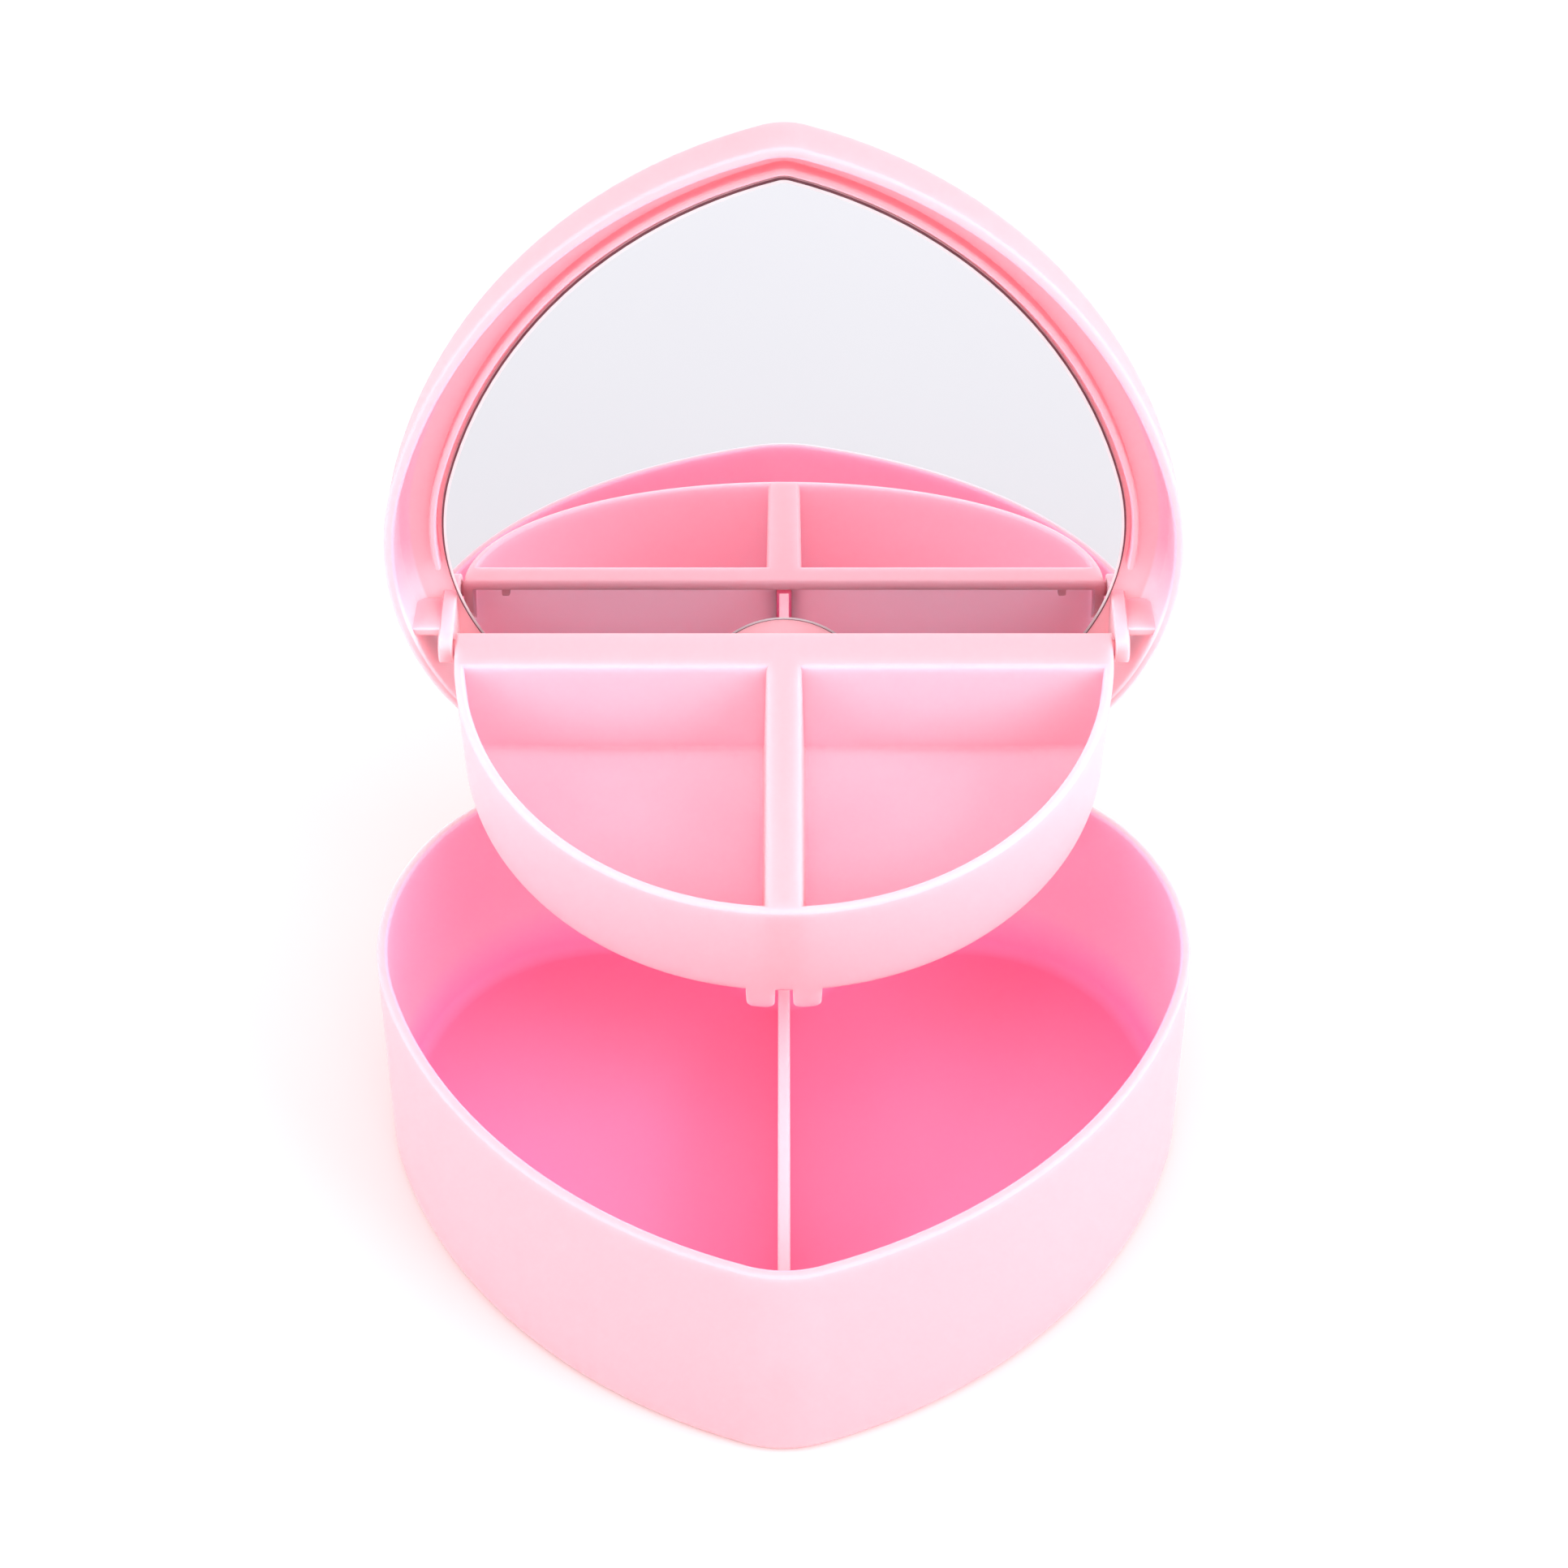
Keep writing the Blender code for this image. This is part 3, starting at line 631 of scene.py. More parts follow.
def lid_hinge(middle):
    """Clearance, arm, knuckle and pin bore of one hinge on the lid."""
    half = KNUCKLE_WIDTH / 2
    reach = HINGE_WIDTH / 2 + SIDE_GAP
    cleared = add_bar("cleared", BARREL_RADIUS + SWING_GAP, middle - reach, middle + reach, HINGE_Y, HINGE_Z)
    combine(lid, cleared, "DIFFERENCE")
    back = HINGE_Y + ARM_BACK
    arm = add_box("arm", (middle - half, HINGE_Y - WALL_BITE, HINGE_Z),
                  (middle + half, back, HINGE_Z + ARM_HEIGHT))
    pick(arm, "edges", lambda e: all(v.co.y > back - TINY and v.co.z > HINGE_Z + TINY for v in e.verts))
    bpy.ops.mesh.bevel(offset=2 * ARM_BACK, segments=1, affect="EDGES")
    round_edges(arm, EDGE_SOFT, 2, lambda e: all(v.co.y > HINGE_Y for v in e.verts))
    combine(lid, arm, "UNION")
    knuckle = add_bar("knuckle", BARREL_RADIUS, middle - half, middle + half, HINGE_Y, HINGE_Z, EDGE_SOFT)
    combine(lid, knuckle, "UNION")
    bore = add_bar("bore", PIN_BORE, middle - reach, middle + reach, HINGE_Y, HINGE_Z)
    combine(lid, bore, "DIFFERENCE")


for side in (-1, 1):
    lid_hinge(side * LOBE_X)
print("lid with its hinges has", len(lid.data.polygons), "faces")

# %% [markdown]
# The finished lid is turned open about the pins. Rotating the object would do, but a piece that is kept
# sits at the origin unturned, so the points are turned in edit mode. Opening is a negative turn about X,
# but without a window Rotate turns the other way, so the angle is positive here.


# %% Turn the lid open
def swing_open(piece):
    """Turn a piece of the closed lid about the hinge to where the open lid rests."""
    edit(piece)
    bpy.ops.transform.rotate(value=OPEN_ANGLE, orient_axis="X", center_override=(0, HINGE_Y, HINGE_Z))


swing_open(lid)
finish_mesh(lid)

# %% [markdown]
# ## The mirror
# The mirror is a heart of thin silvered glass with its edge ground off, stuck into the lid. The compass
# draws it with a larger inset, one extrusion gives its thickness and a fine bevel grinds its edge. Later
# the flat face, the frosted edge and the dark line in it are told apart by how far they slant.

# %% Shape the mirror
MIRROR_THICKNESS = 0.9 * MM
GRIND = 0.8 * MM
GLASS_CREASE = radians(20)
FLAT = 0.999

mirror = draw_heart("heart_mirror", LID_HEART, MIRROR_INSET, MIRROR_FACE)
extrude(0, 0, MIRROR_THICKNESS)
face_outwards()
round_edges(mirror, GRIND, 3, at_height(MIRROR_FACE))
print("faces of the flat mirror:", pick(mirror, "faces", lambda f: f.normal.z < -FLAT))
swing_open(mirror)
finish_mesh(mirror, GLASS_CREASE)

# %% [markdown]
# ## The tray
# The tray is a half moon: an ellipse in front, straight at the back. It starts as a circle that is
# stretched to the ellipse, cut in half and lengthened by two short straight sides. It is drawn about
# its own pivot and hung on the lugs at the end.

# %% Draw the half moon
TRAY_HALF = 50.2 * MM
TRAY_LENGTH = 55.9 * MM
TRAY_STRAIGHT = 3.6 * MM
TRAY_BACK = 1.7 * MM
TRAY_TOP = 1.8 * MM
TRAY_HEIGHT = 19.1 * MM
TRAY_BOTTOM = TRAY_TOP - TRAY_HEIGHT
TRAY_DRAFT = radians(1.5)
TRAY_LEAN = TRAY_HEIGHT * tan(TRAY_DRAFT)
MOON_POINTS = 192


def draw_half_moon(name, height, lean):
    """Half an ellipse with short straight sides and a straight back, set in by the wall's lean."""
    clear_selection()
    bpy.ops.mesh.primitive_circle_add(vertices=MOON_POINTS, radius=1.0)
    moon = open_new(name)
    wide = TRAY_HALF - lean
    deep = TRAY_LENGTH - TRAY_STRAIGHT - lean
    shoulder = TRAY_BACK - TRAY_STRAIGHT
    bpy.ops.transform.resize(value=(wide, deep, 1.0))
    bpy.ops.transform.translate(value=(0, shoulder, height))
    pick(moon, "verts", lambda v: v.co.y > shoulder + TINY)
    bpy.ops.mesh.delete(type="VERT")
    pick(moon, "verts", lambda v: v.co.y > shoulder - TINY)
    bpy.ops.mesh.extrude_vertices_move(TRANSFORM_OT_translate={"value": (0, TRAY_STRAIGHT - lean, 0)})
    bpy.ops.mesh.edge_face_add()
    bpy.ops.mesh.select_all(action="SELECT")
    bpy.ops.mesh.edge_face_add()
    return moon


tray = draw_half_moon("half_moon_tray", TRAY_BOTTOM, TRAY_LEAN)
print("points round the tray:", pick(tray, "verts", lambda v: True))

# %% [markdown]
# The half moon is pulled up and widened a little, because the tray's walls lean out as the base's do.
# One Inset then leaves the rim, and Bisect marks on the inner face where the ledge and the divider run.
# Two boxes could be cut out instead, but then the rim would not follow the curve.

# %% Raise the tray and mark its top
TRAY_WALL = 1.5 * MM
LEDGE_DEPTH = 7.4 * MM
TRAY_DIVIDER = 5.4 * MM
TRAY_MIDDLE = TRAY_BACK - TRAY_LENGTH / 2
WALL_BACK = TRAY_BACK - LEDGE_DEPTH + TRAY_WALL
POCKET_BACK = WALL_BACK - TRAY_WALL
LARGE_FACE = 100 * MM * MM


def pull_up(rise, lean):
    """Pull the selected half moon up and let its walls lean out."""
    extrude(0, 0, rise)
    grow = rise * tan(TRAY_DRAFT)
    wide = (TRAY_HALF - lean + grow) / (TRAY_HALF - lean)
    long = (TRAY_LENGTH - 2 * lean + 2 * grow) / (TRAY_LENGTH - 2 * lean)
    bpy.ops.transform.resize(value=(wide, long, 1.0), center_override=(0, TRAY_MIDDLE, 0))


def on_top(face):
    """True for the large flat faces of the top, not for the rim."""
    return face.calc_center_median().z > TRAY_TOP - TINY and face.calc_area() > LARGE_FACE


bpy.ops.mesh.select_all(action="SELECT")
pull_up(TRAY_HEIGHT, TRAY_LEAN)
bpy.ops.mesh.inset(thickness=TRAY_WALL)
bpy.ops.mesh.bisect(plane_co=(0, POCKET_BACK, 0), plane_no=(0, 1, 0))
for side in (-1, 1):
    pick(tray, "faces", lambda f: on_top(f) and f.calc_center_median().y < POCKET_BACK)
    bpy.ops.mesh.bisect(plane_co=(side * TRAY_DIVIDER / 2, 0, 0), plane_no=(1, 0, 0))
print("faces marked on the top:", pick(tray, "faces", on_top))

# %% [markdown]
# Where a marked line meets the rim, some of the rim's points lie so near the new corner that they leave
# a bevel no room. They are drawn into the corner and merged. Fewer points all round would do too, but
# the rim would then show its facets.

# %% Clear the corners
CORNER_CLEAR = 1.3 * MM


def at_corner(vert):
    """True where the line of the ledge or of the divider meets the rim."""
    on_ledge = abs(vert.co.y - POCKET_BACK) < TINY and abs(vert.co.x) > TRAY_DIVIDER
    on_divider = abs(abs(vert.co.x) - TRAY_DIVIDER / 2) < TINY and vert.co.y < TRAY_MIDDLE
    return on_ledge or on_divider


corners = [vert.co.copy() for vert in bmesh.from_edit_mesh(tray.data).verts if at_corner(vert)]
for corner in corners:
    pick(tray, "verts", lambda v: (v.co - corner).length < CORNER_CLEAR)
    bpy.ops.transform.resize(value=(0, 0, 0), center_override=corner)
    bpy.ops.mesh.remove_doubles(threshold=TINY)
print("corners cleared:", len(corners))

# %% [markdown]
# The two faces left between rim, ledge and divider are pushed down to the floor, a little narrower at
# the foot so that they leave the mould. The rounds follow in the order foot, floor, rim: each picks its
# edges by height, so none disturbs the next.

# %% Sink the compartments
TRAY_FLOOR = 1.3 * MM
TRAY_FOOT_ROUND = 1.2 * MM
TRAY_RIM_ROUND = 0.6 * MM
CORNER_ROUND = 0.7 * MM


def sink_pocket(side):
    """Push one compartment down to the floor, a little narrower at its foot."""
    middle = (side * TRAY_HALF / 2, TRAY_MIDDLE, TRAY_TOP)
    depth = TRAY_HEIGHT - TRAY_FLOOR
    count = pick(tray, "faces", lambda f: on_top(f) and side * f.calc_center_median().x > TRAY_DIVIDER)
    extrude(0, 0, -depth)
    shrink = 1 - 2 * TRAY_LEAN / TRAY_HALF
    bpy.ops.transform.resize(value=(shrink, shrink, 1.0), center_override=middle)
    return count


for side in (-1, 1):
    print("compartment faces sunk:", sink_pocket(side))
round_edges(tray, TRAY_FOOT_ROUND, 5, at_height(TRAY_BOTTOM))
round_edges(tray, CORNER_ROUND, 5, at_height(TRAY_BOTTOM + TRAY_FLOOR))
round_edges(tray, TRAY_RIM_ROUND, 3, at_height(TRAY_TOP))

# %% [markdown]
# Behind the back wall the tray is only a ledge with two ears, and its divider is hollow from below, so
# the base's divider can stand in it when the case is shut. Boxes are cut away for both, and a third one
# with a sloping top trims the ears.

# %% Cut the space under the ledge and in the divider
LEDGE_THICKNESS = 1.5 * MM
EAR_HEIGHT = 8.0 * MM
CHANNEL = 2.4 * MM
OVER = 2.0 * MM

inside = TRAY_HALF - TRAY_WALL
space = add_box("space", (-inside, WALL_BACK, TRAY_BOTTOM - OVER),
                (inside, TRAY_BACK + OVER, TRAY_TOP - LEDGE_THICKNESS))
combine(tray, space, "DIFFERENCE")
ear_foot = TRAY_TOP - EAR_HEIGHT
slope = add_box("slope", (-TRAY_HALF - OVER, WALL_BACK, TRAY_BOTTOM - OVER),
                (TRAY_HALF + OVER, TRAY_BACK + OVER, ear_foot))
pick(slope, "verts", lambda v: v.co.z > ear_foot - TINY and v.co.y > TRAY_BACK)
bpy.ops.transform.translate(value=(0, 0, LEDGE_DEPTH / 2))
combine(tray, slope, "DIFFERENCE")
front_foot = TRAY_BACK - TRAY_LENGTH + TRAY_LEAN
channel = add_box("channel", (-CHANNEL / 2, front_foot + 2 * TRAY_WALL, TRAY_BOTTOM - OVER),
                  (CHANNEL / 2, WALL_BACK + OVER, TRAY_TOP - LEDGE_THICKNESS))
combine(tray, channel, "DIFFERENCE")
print("tray with its ledge has", len(tray.data.polygons), "faces")

# %% [markdown]
# Two tabs under the front wall straddle the base's divider. They run on in line with the curved wall,
# so each is a rounded box cut to the shape of a second half moon that carries the wall on downwards.

# %% Shape a tab
FORK_SLOT = 2.4 * MM
TAB_WIDTH = 4.5 * MM
TAB_DROP = 3.5 * MM
TAB_TAPER = 0.9
TAB_ROUND = 1.2 * MM
TAB_SET_BACK = 0.05 * MM


def add_tab(side):
    """One rounded tab in line with the front wall."""
    near, far = on_side(side, FORK_SLOT / 2, FORK_SLOT / 2 + TAB_WIDTH)
    foot = TRAY_BOTTOM - TAB_DROP
    root = TRAY_BOTTOM + 2 * TRAY_WALL
    tab = add_box("tab", (near, front_foot - MM, foot), (far, front_foot + TRAY_WALL, root))
    pick(tab, "verts", lambda v: v.co.z < foot + TINY)
    bpy.ops.transform.resize(value=(TAB_TAPER, 1, 1), center_override=((near + far) / 2, 0, foot))
    at_foot = at_height(foot)
    round_edges(tab, TAB_ROUND, 5, lambda e: keeps_x(e) and at_foot(e))
    lean = (TRAY_TOP - foot + MM) * tan(TRAY_DRAFT)
    skirt = draw_half_moon("skirt", foot - MM, lean)
    pull_up(root - foot + 2 * MM, lean)
    face_outwards()
    bpy.ops.transform.translate(value=(0, TAB_SET_BACK, 0))
    combine(tab, skirt, "INTERSECT")
    combine(tray, tab, "UNION")


# %% [markdown]
# A stud on each side turns in its lug, and a small nub stands under the ledge near each ear. Both are
# plain primitives with softened edges, because they are small: the studs sit in their holes, and the
# nubs show only in the mirror.

# %% Add the tabs, nubs and studs
NUB_REACH = 43.0 * MM
NUB_SIZE = 1.2 * MM
NUB_ROUND = 0.2 * MM
STUD_RADIUS = 1.2 * MM
STUD_SHORT = 0.3 * MM
STUD_ROUND = 0.25 * MM
STUD_END = LUG_INNER + LUG_THICKNESS - STUD_SHORT


def add_nub(side):
    """A small nub under the ledge."""
    near, far = on_side(side, NUB_REACH, NUB_REACH + NUB_SIZE)
    under = TRAY_TOP - LEDGE_THICKNESS
    back = TRAY_BACK - NUB_SIZE / 2
    nub = add_box("nub", (near, back - NUB_SIZE, under - NUB_SIZE), (far, back, under + LEDGE_THICKNESS / 2))
    round_edges(nub, NUB_ROUND, 2, at_height(under - NUB_SIZE))
    combine(tray, nub, "UNION")


for side in (-1, 1):
    add_tab(side)
    add_nub(side)
    near, far = on_side(side, TRAY_HALF - TRAY_WALL / 2, STUD_END)
    combine(tray, add_bar("stud", STUD_RADIUS, near, far, 0.0, 0.0, STUD_ROUND), "UNION")
print("studs reach to", round(STUD_END / MM, 2), "mm from the middle")

# %% [markdown]
# With the lid open the tray hangs on its studs and tips forward a little. It was drawn about the studs'
# axis, so it is turned about the origin and then moved to the pivot.

# %% Tilt the tray and hang it on the lugs
TRAY_TILT = radians(8.6)
TRAY_PIVOT = (0.0, 39.4385 * MM, 59.7704 * MM)

edit(tray)
bpy.ops.transform.rotate(value=-TRAY_TILT, orient_axis="X", center_override=(0, 0, 0))
bpy.ops.transform.translate(value=TRAY_PIVOT)
finish_mesh(tray)

# %% [markdown]
# ## The finishes
# Every finish is made of a few kinds of node, so each kind gets a small helper. Noise on the object's own
# coordinates stays with the piece when it moves. An image could do the same, but it would need unwrapped
# pieces and would blur close up.


# %% Start a material
def add_node(material, kind):
    """A new node of one kind in a material."""
    return material.node_tree.nodes.new(kind)


def feed(material, value, socket):
    """Give a socket a constant, or link it to another node's output."""
    if isinstance(value, bpy.types.NodeSocket):
        material.node_tree.links.new(value, socket)
    else:
        socket.default_value = value


def new_material(name):
    """A material with its shader and its object coordinates."""
    material = bpy.data.materials.new(name)
    material.use_nodes = True
    shader = material.node_tree.nodes["Principled BSDF"]
    return material, shader, add_node(material, "ShaderNodeTexCoord")


def noise(material, place, scale, detail=2.0):
    """Noise over the object, with its scale per metre."""
    texture = add_node(material, "ShaderNodeTexNoise")
    texture.inputs["Scale"].default_value = scale
    texture.inputs["Detail"].default_value = detail
    feed(material, place.outputs["Object"], texture.inputs["Vector"])
    return texture


# %% [markdown]
# No real surface has one flat colour or one gloss. Pigment, polish and the mould's own skin vary a
# little from place to place, so noise moves the colour and the roughness between two close values, and a
# fine bump gives the grain.


# %% Vary colour, gloss and grain
def spread(material, value, start=(0.0, 1.0), end=(0.0, 1.0)):
    """Stretch a value from one range to another and stop it at both ends."""
    stretch = add_node(material, "ShaderNodeMapRange")
    for name, number in zip(("From Min", "From Max", "To Min", "To Max"), (*start, *end)):
        stretch.inputs[name].default_value = number
    feed(material, value, stretch.inputs["Value"])
    return stretch.outputs["Result"]


def blend_colours(material, factor, first, second):
    """Blend two colours by a factor that changes over the surface."""
    blend = add_node(material, "ShaderNodeMix")
    blend.data_type = "RGBA"
    feed(material, factor, blend.inputs[0])
    for colour, socket in ((first, blend.inputs[6]), (second, blend.inputs[7])):
        feed(material, (*colour, 1.0) if isinstance(colour, tuple) else colour, socket)
    return blend.outputs[2]


def vary_colour(material, shader, texture, first, second):
    """Blend two close colours by a noise."""
    mixed = blend_colours(material, texture.outputs["Fac"], first, second)
    feed(material, mixed, shader.inputs["Base Color"])


def vary_roughness(material, shader, texture, low, high):
    """Let a noise move the roughness between two values."""
    roughness = spread(material, texture.outputs["Fac"], end=(low, high))
    feed(material, roughness, shader.inputs["Roughness"])


def add_grain(material, shader, texture, strength, depth):
    """Raise a noise into a fine bump."""
    bump = add_node(material, "ShaderNodeBump")
    bump.inputs["Strength"].default_value = strength
    bump.inputs["Distance"].default_value = depth
    feed(material, texture.outputs["Fac"], bump.inputs["Height"])
    feed(material, bump.outputs["Normal"], shader.inputs["Normal"])


# %% [markdown]
# Light that bounces about in a pink tub loses green and blue at every bounce, so one colour for all would
# turn salmon in the deep places. The shaded insides look a cool pink, so the plastic stays one colour and a
# bluer pink is painted on the insides as painted shade. Inside is where a face looks towards the middle of
# its tub, as a dot product finds.

# %% Tell inside from outside
OUTSIDE_BELOW = 0.02
INSIDE_ABOVE = 0.3


def vector_step(material, operation, *values):
    """One step of vector arithmetic."""
    step = add_node(material, "ShaderNodeVectorMath")
    step.operation = operation
    for value, socket in zip(values, step.inputs):
        feed(material, value, socket)
    return step


def facing(material, place, middle):
    """How far the surface looks towards the middle of its tub, from 0 outside to 1 inside."""
    to_middle = vector_step(material, "SUBTRACT", middle, place.outputs["Object"])
    unit = vector_step(material, "NORMALIZE", to_middle.outputs["Vector"])
    dot = vector_step(material, "DOT_PRODUCT", unit.outputs["Vector"], place.outputs["Normal"])
    return spread(material, dot.outputs["Value"], (OUTSIDE_BELOW, INSIDE_ABOVE))


def how_high(material, place, foot, top, lowest=0.0):
    """How high a point lies, from the lowest value at the foot to 1 at the top."""
    split = add_node(material, "ShaderNodeSeparateXYZ")
    feed(material, place.outputs["Object"], split.inputs["Vector"])
    return spread(material, split.outputs["Z"], (foot, top), (lowest, 1.0))


# %% [markdown]
# The plastic also lets light through: it goes in at one side of a thin wall and comes out pink at the
# other. Glass-like transmission would show shapes behind the wall. Subsurface scattering only lets the
# glow through, as milky plastic does. A floor that stands on the table gets less of it.

# %% Make the pink plastic
FLOOR_LOW = 3 * MM
FLOOR_HIGH = 12 * MM
FLOOR_GLOW = 0.25
GLOW_DEPTH = 6.5 * MM
GLOW_SPREAD = (0.9, 1.0, 1.0)
PIGMENT_SCALE = 35.0
MOTTLE = 0.25
PALER = 1.03
SATIN_SCALE = 220.0
SATIN = (0.45, 0.55)
GRAIN_SCALE = 2600.0
GRAIN = (0.06, 0.05 * MM)
SHEEN = 0.06


def let_light_through(material, shader, place, depth):
    """Scatter light in every wall, and less in a floor that stands on the table."""
    low = how_high(material, place, FLOOR_LOW, FLOOR_HIGH, FLOOR_GLOW)
    weight = add_node(material, "ShaderNodeMix")
    for value, socket in ((depth, 0), (1.0, 2), (low, 3)):
        feed(material, value, weight.inputs[socket])
    feed(material, weight.outputs[0], shader.inputs["Subsurface Weight"])
    shader.inputs["Subsurface Radius"].default_value = GLOW_SPREAD
    shader.inputs["Subsurface Scale"].default_value = GLOW_DEPTH


def pink_plastic(name, outside, inside, middle, floor, foot=FLOOR_LOW, top=FLOOR_HIGH):
    """Satin moulded plastic that lets light through: its own pink outside, with painted shade and painted
    light tints inside and low down inside.
    """
    material, shader, place = new_material(name)
    low = how_high(material, place, foot, top)
    depth = facing(material, place, middle)
    inner = blend_colours(material, low, floor, inside)
    tone = blend_colours(material, depth, outside, inner)
    pigment = noise(material, place, PIGMENT_SCALE)
    mottle = spread(material, pigment.outputs["Fac"], end=(0.0, MOTTLE))
    paler = tuple(min(1.0, PALER * c) for c in outside)
    mixed = blend_colours(material, mottle, tone, paler)
    feed(material, mixed, shader.inputs["Base Color"])
    vary_roughness(material, shader, noise(material, place, SATIN_SCALE), *SATIN)
    add_grain(material, shader, noise(material, place, GRAIN_SCALE, 3.0), *GRAIN)
    shader.inputs["Specular IOR Level"].default_value = SHEEN
    let_light_through(material, shader, place, depth)
    return material


# %% [markdown]
# Base, lid and tray are the same plastic with slightly different tints. Three places get a paler pink of
# their own, which is painted light. The top edge of the base's divider gathers light, as a thin edge of
# milky plastic does, and the paler pink paints that light in. The tray's back wall and the low inside of the
# lid get less light here than on the real case, so a paler pink is painted there for the missing light.

# %% Mix the pinks
PALE = (0.998, 0.30, 0.34)
PALEST = (0.998, 0.35, 0.395)
# Painted light: a paler pink for the light on the top edge of the base's divider.
EDGE_PAINTED_LIGHT = (0.998, 0.46, 0.52)
# Painted shade: a deeper, bluer pink low down inside the tubs, where shade gathers on the floor.
LOW_PAINTED_SHADE = (0.998, 0.275, 0.53)
# Painted light: a paler pink low inside the lid, for light the lamps don't bring there.
LID_LOW_PAINTED_LIGHT = (0.998, 0.52, 0.58)
# Painted light: a paler pink on the tray's back wall under the ledge, for light the lamps don't bring there.
BACK_PAINTED_LIGHT = (0.998, 0.51, 0.60)
# Painted shade: the bluer pinks of the insides stand in for the look of shade in the tubs.
BASE_INSIDE_PAINTED_SHADE = (0.998, 0.31, 0.44)
LID_INSIDE_PAINTED_SHADE = (0.998, 0.29, 0.385)
TRAY_INSIDE_PAINTED_SHADE = (0.998, 0.40, 0.49)
BASE_MIDDLE = (0.0, -5 * MM, BASE_HEIGHT)
LID_MIDDLE = (0.0, 46 * MM, 85 * MM)
INSIDE_TRAY = (0.0, 12 * MM, 52 * MM)
# The lid's painted light is full below the first height and gone above the second.
LID_LOW_LIGHT_FROM = 58 * MM
LID_LOW_LIGHT_TO = 72 * MM

base_plastic = pink_plastic("satin_pink_base", PALE, BASE_INSIDE_PAINTED_SHADE, BASE_MIDDLE, LOW_PAINTED_SHADE)
lid_plastic = pink_plastic("satin_pink_lid", PALE, LID_INSIDE_PAINTED_SHADE, LID_MIDDLE, LID_LOW_PAINTED_LIGHT, LID_LOW_LIGHT_FROM, LID_LOW_LIGHT_TO)
tray_plastic = pink_plastic("satin_pink_tray", PALEST, TRAY_INSIDE_PAINTED_SHADE, INSIDE_TRAY, LOW_PAINTED_SHADE)
edge_painted_light = pink_plastic("painted_light_divider_edge", EDGE_PAINTED_LIGHT, EDGE_PAINTED_LIGHT, (0.0, 0.0, BASE_HEIGHT), EDGE_PAINTED_LIGHT)
back_painted_light = pink_plastic("painted_light_tray_back", BACK_PAINTED_LIGHT, BACK_PAINTED_LIGHT, INSIDE_TRAY, BACK_PAINTED_LIGHT)
plastics = (base_plastic, lid_plastic, tray_plastic, edge_painted_light, back_painted_light)
print("plastics:", [plastic.name for plastic in plastics])

# %% [markdown]
# The mirror is silver behind glass. Clear glass with a metal sheet behind it would be true to life, but
# one smooth metal looks nearly the same from in front, with faint smears in its roughness. Its ground
# edge is frosted glass with fine chips, and a dark line runs along the middle of it.


# %% Make the mirror's finishes
def silver_glass(name, first, second, low, high):
    """Silvered glass, its gloss broken by faint smears."""
    material, shader, place = new_material(name)
    vary_colour(material, shader, noise(material, place, 25.0), first, second)
    vary_roughness(material, shader, noise(material, place, 90.0, 4.0), low, high)
    shader.inputs["Metallic"].default_value = 1.0
    return material


def ground_glass(name, first, second):
    """The frosted edge of cut glass, with its chips."""
    material, shader, place = new_material(name)
    vary_colour(material, shader, noise(material, place, 500.0, 3.0), first, second)
    vary_roughness(material, shader, noise(material, place, 900.0), 0.25, 0.5)
    add_grain(material, shader, noise(material, place, 4000.0, 3.0), 0.2, 0.03 * MM)
    return material


mirror_silver = silver_glass("mirror_silver", (0.61, 0.605, 0.635), (0.595, 0.59, 0.625), 0.0, 0.015)
mirror_edge = ground_glass("ground_mirror_edge", (0.54, 0.53, 0.55), (0.44, 0.43, 0.45))
mirror_line = ground_glass("dark_mirror_line", (0.13, 0.07, 0.08), (0.05, 0.02, 0.03))
print("mirror finishes:", mirror_silver.name, mirror_edge.name, mirror_line.name)

# %% [markdown]
# The tape behind the mirror is white foam with fine pores. The hinge pins are drawn steel wire, and
# drawing leaves fine lines along it: a Mapping node stretches the noise along X to make them.

# %% Make the tape and the steel
ALONG_WIRE = (0.02, 1.0, 1.0)


def foam_tape(name):
    """White foam tape with fine pores."""
    material, shader, place = new_material(name)
    vary_colour(material, shader, noise(material, place, 400.0), (0.86, 0.86, 0.84), (0.78, 0.78, 0.76))
    vary_roughness(material, shader, noise(material, place, 900.0), 0.75, 0.9)
    add_grain(material, shader, noise(material, place, 3000.0, 3.0), 0.4, 0.05 * MM)
    return material


def drawn_steel(name):
    """Steel wire, with fine lines along the wire."""
    material, shader, place = new_material(name)
    stretch = add_node(material, "ShaderNodeMapping")
    stretch.inputs["Scale"].default_value = ALONG_WIRE
    feed(material, place.outputs["Object"], stretch.inputs["Vector"])
    lines = noise(material, place, 5000.0, 3.0)
    feed(material, stretch.outputs["Vector"], lines.inputs["Vector"])
    vary_colour(material, shader, lines, (0.60, 0.60, 0.62), (0.48, 0.48, 0.50))
    vary_roughness(material, shader, lines, 0.22, 0.38)
    shader.inputs["Metallic"].default_value = 1.0
    return material


tape_foam = foam_tape("white_foam_tape")
pin_steel = drawn_steel("drawn_pin_steel")
print("other finishes:", tape_foam.name, pin_steel.name)

# %% [markdown]
# A piece can hold several finishes, and each face keeps the number of its own. By hand one would select
# faces and press Assign. Here the faces are found by their place and by the way they look.

# %% Paint the mouldings
EDGE_BAND = 0.3 * MM
LOOKS_UP = 0.3
LOOKS_BACK = 0.9
BACK_WALL_FROM = 30 * MM
BACK_WALL_TO = 39 * MM


def paint(piece, *materials):
    """Give a piece its materials and nothing else."""
    piece.data.materials.clear()
    for material in materials:
        piece.data.materials.append(material)


paint(base, base_plastic, edge_painted_light)
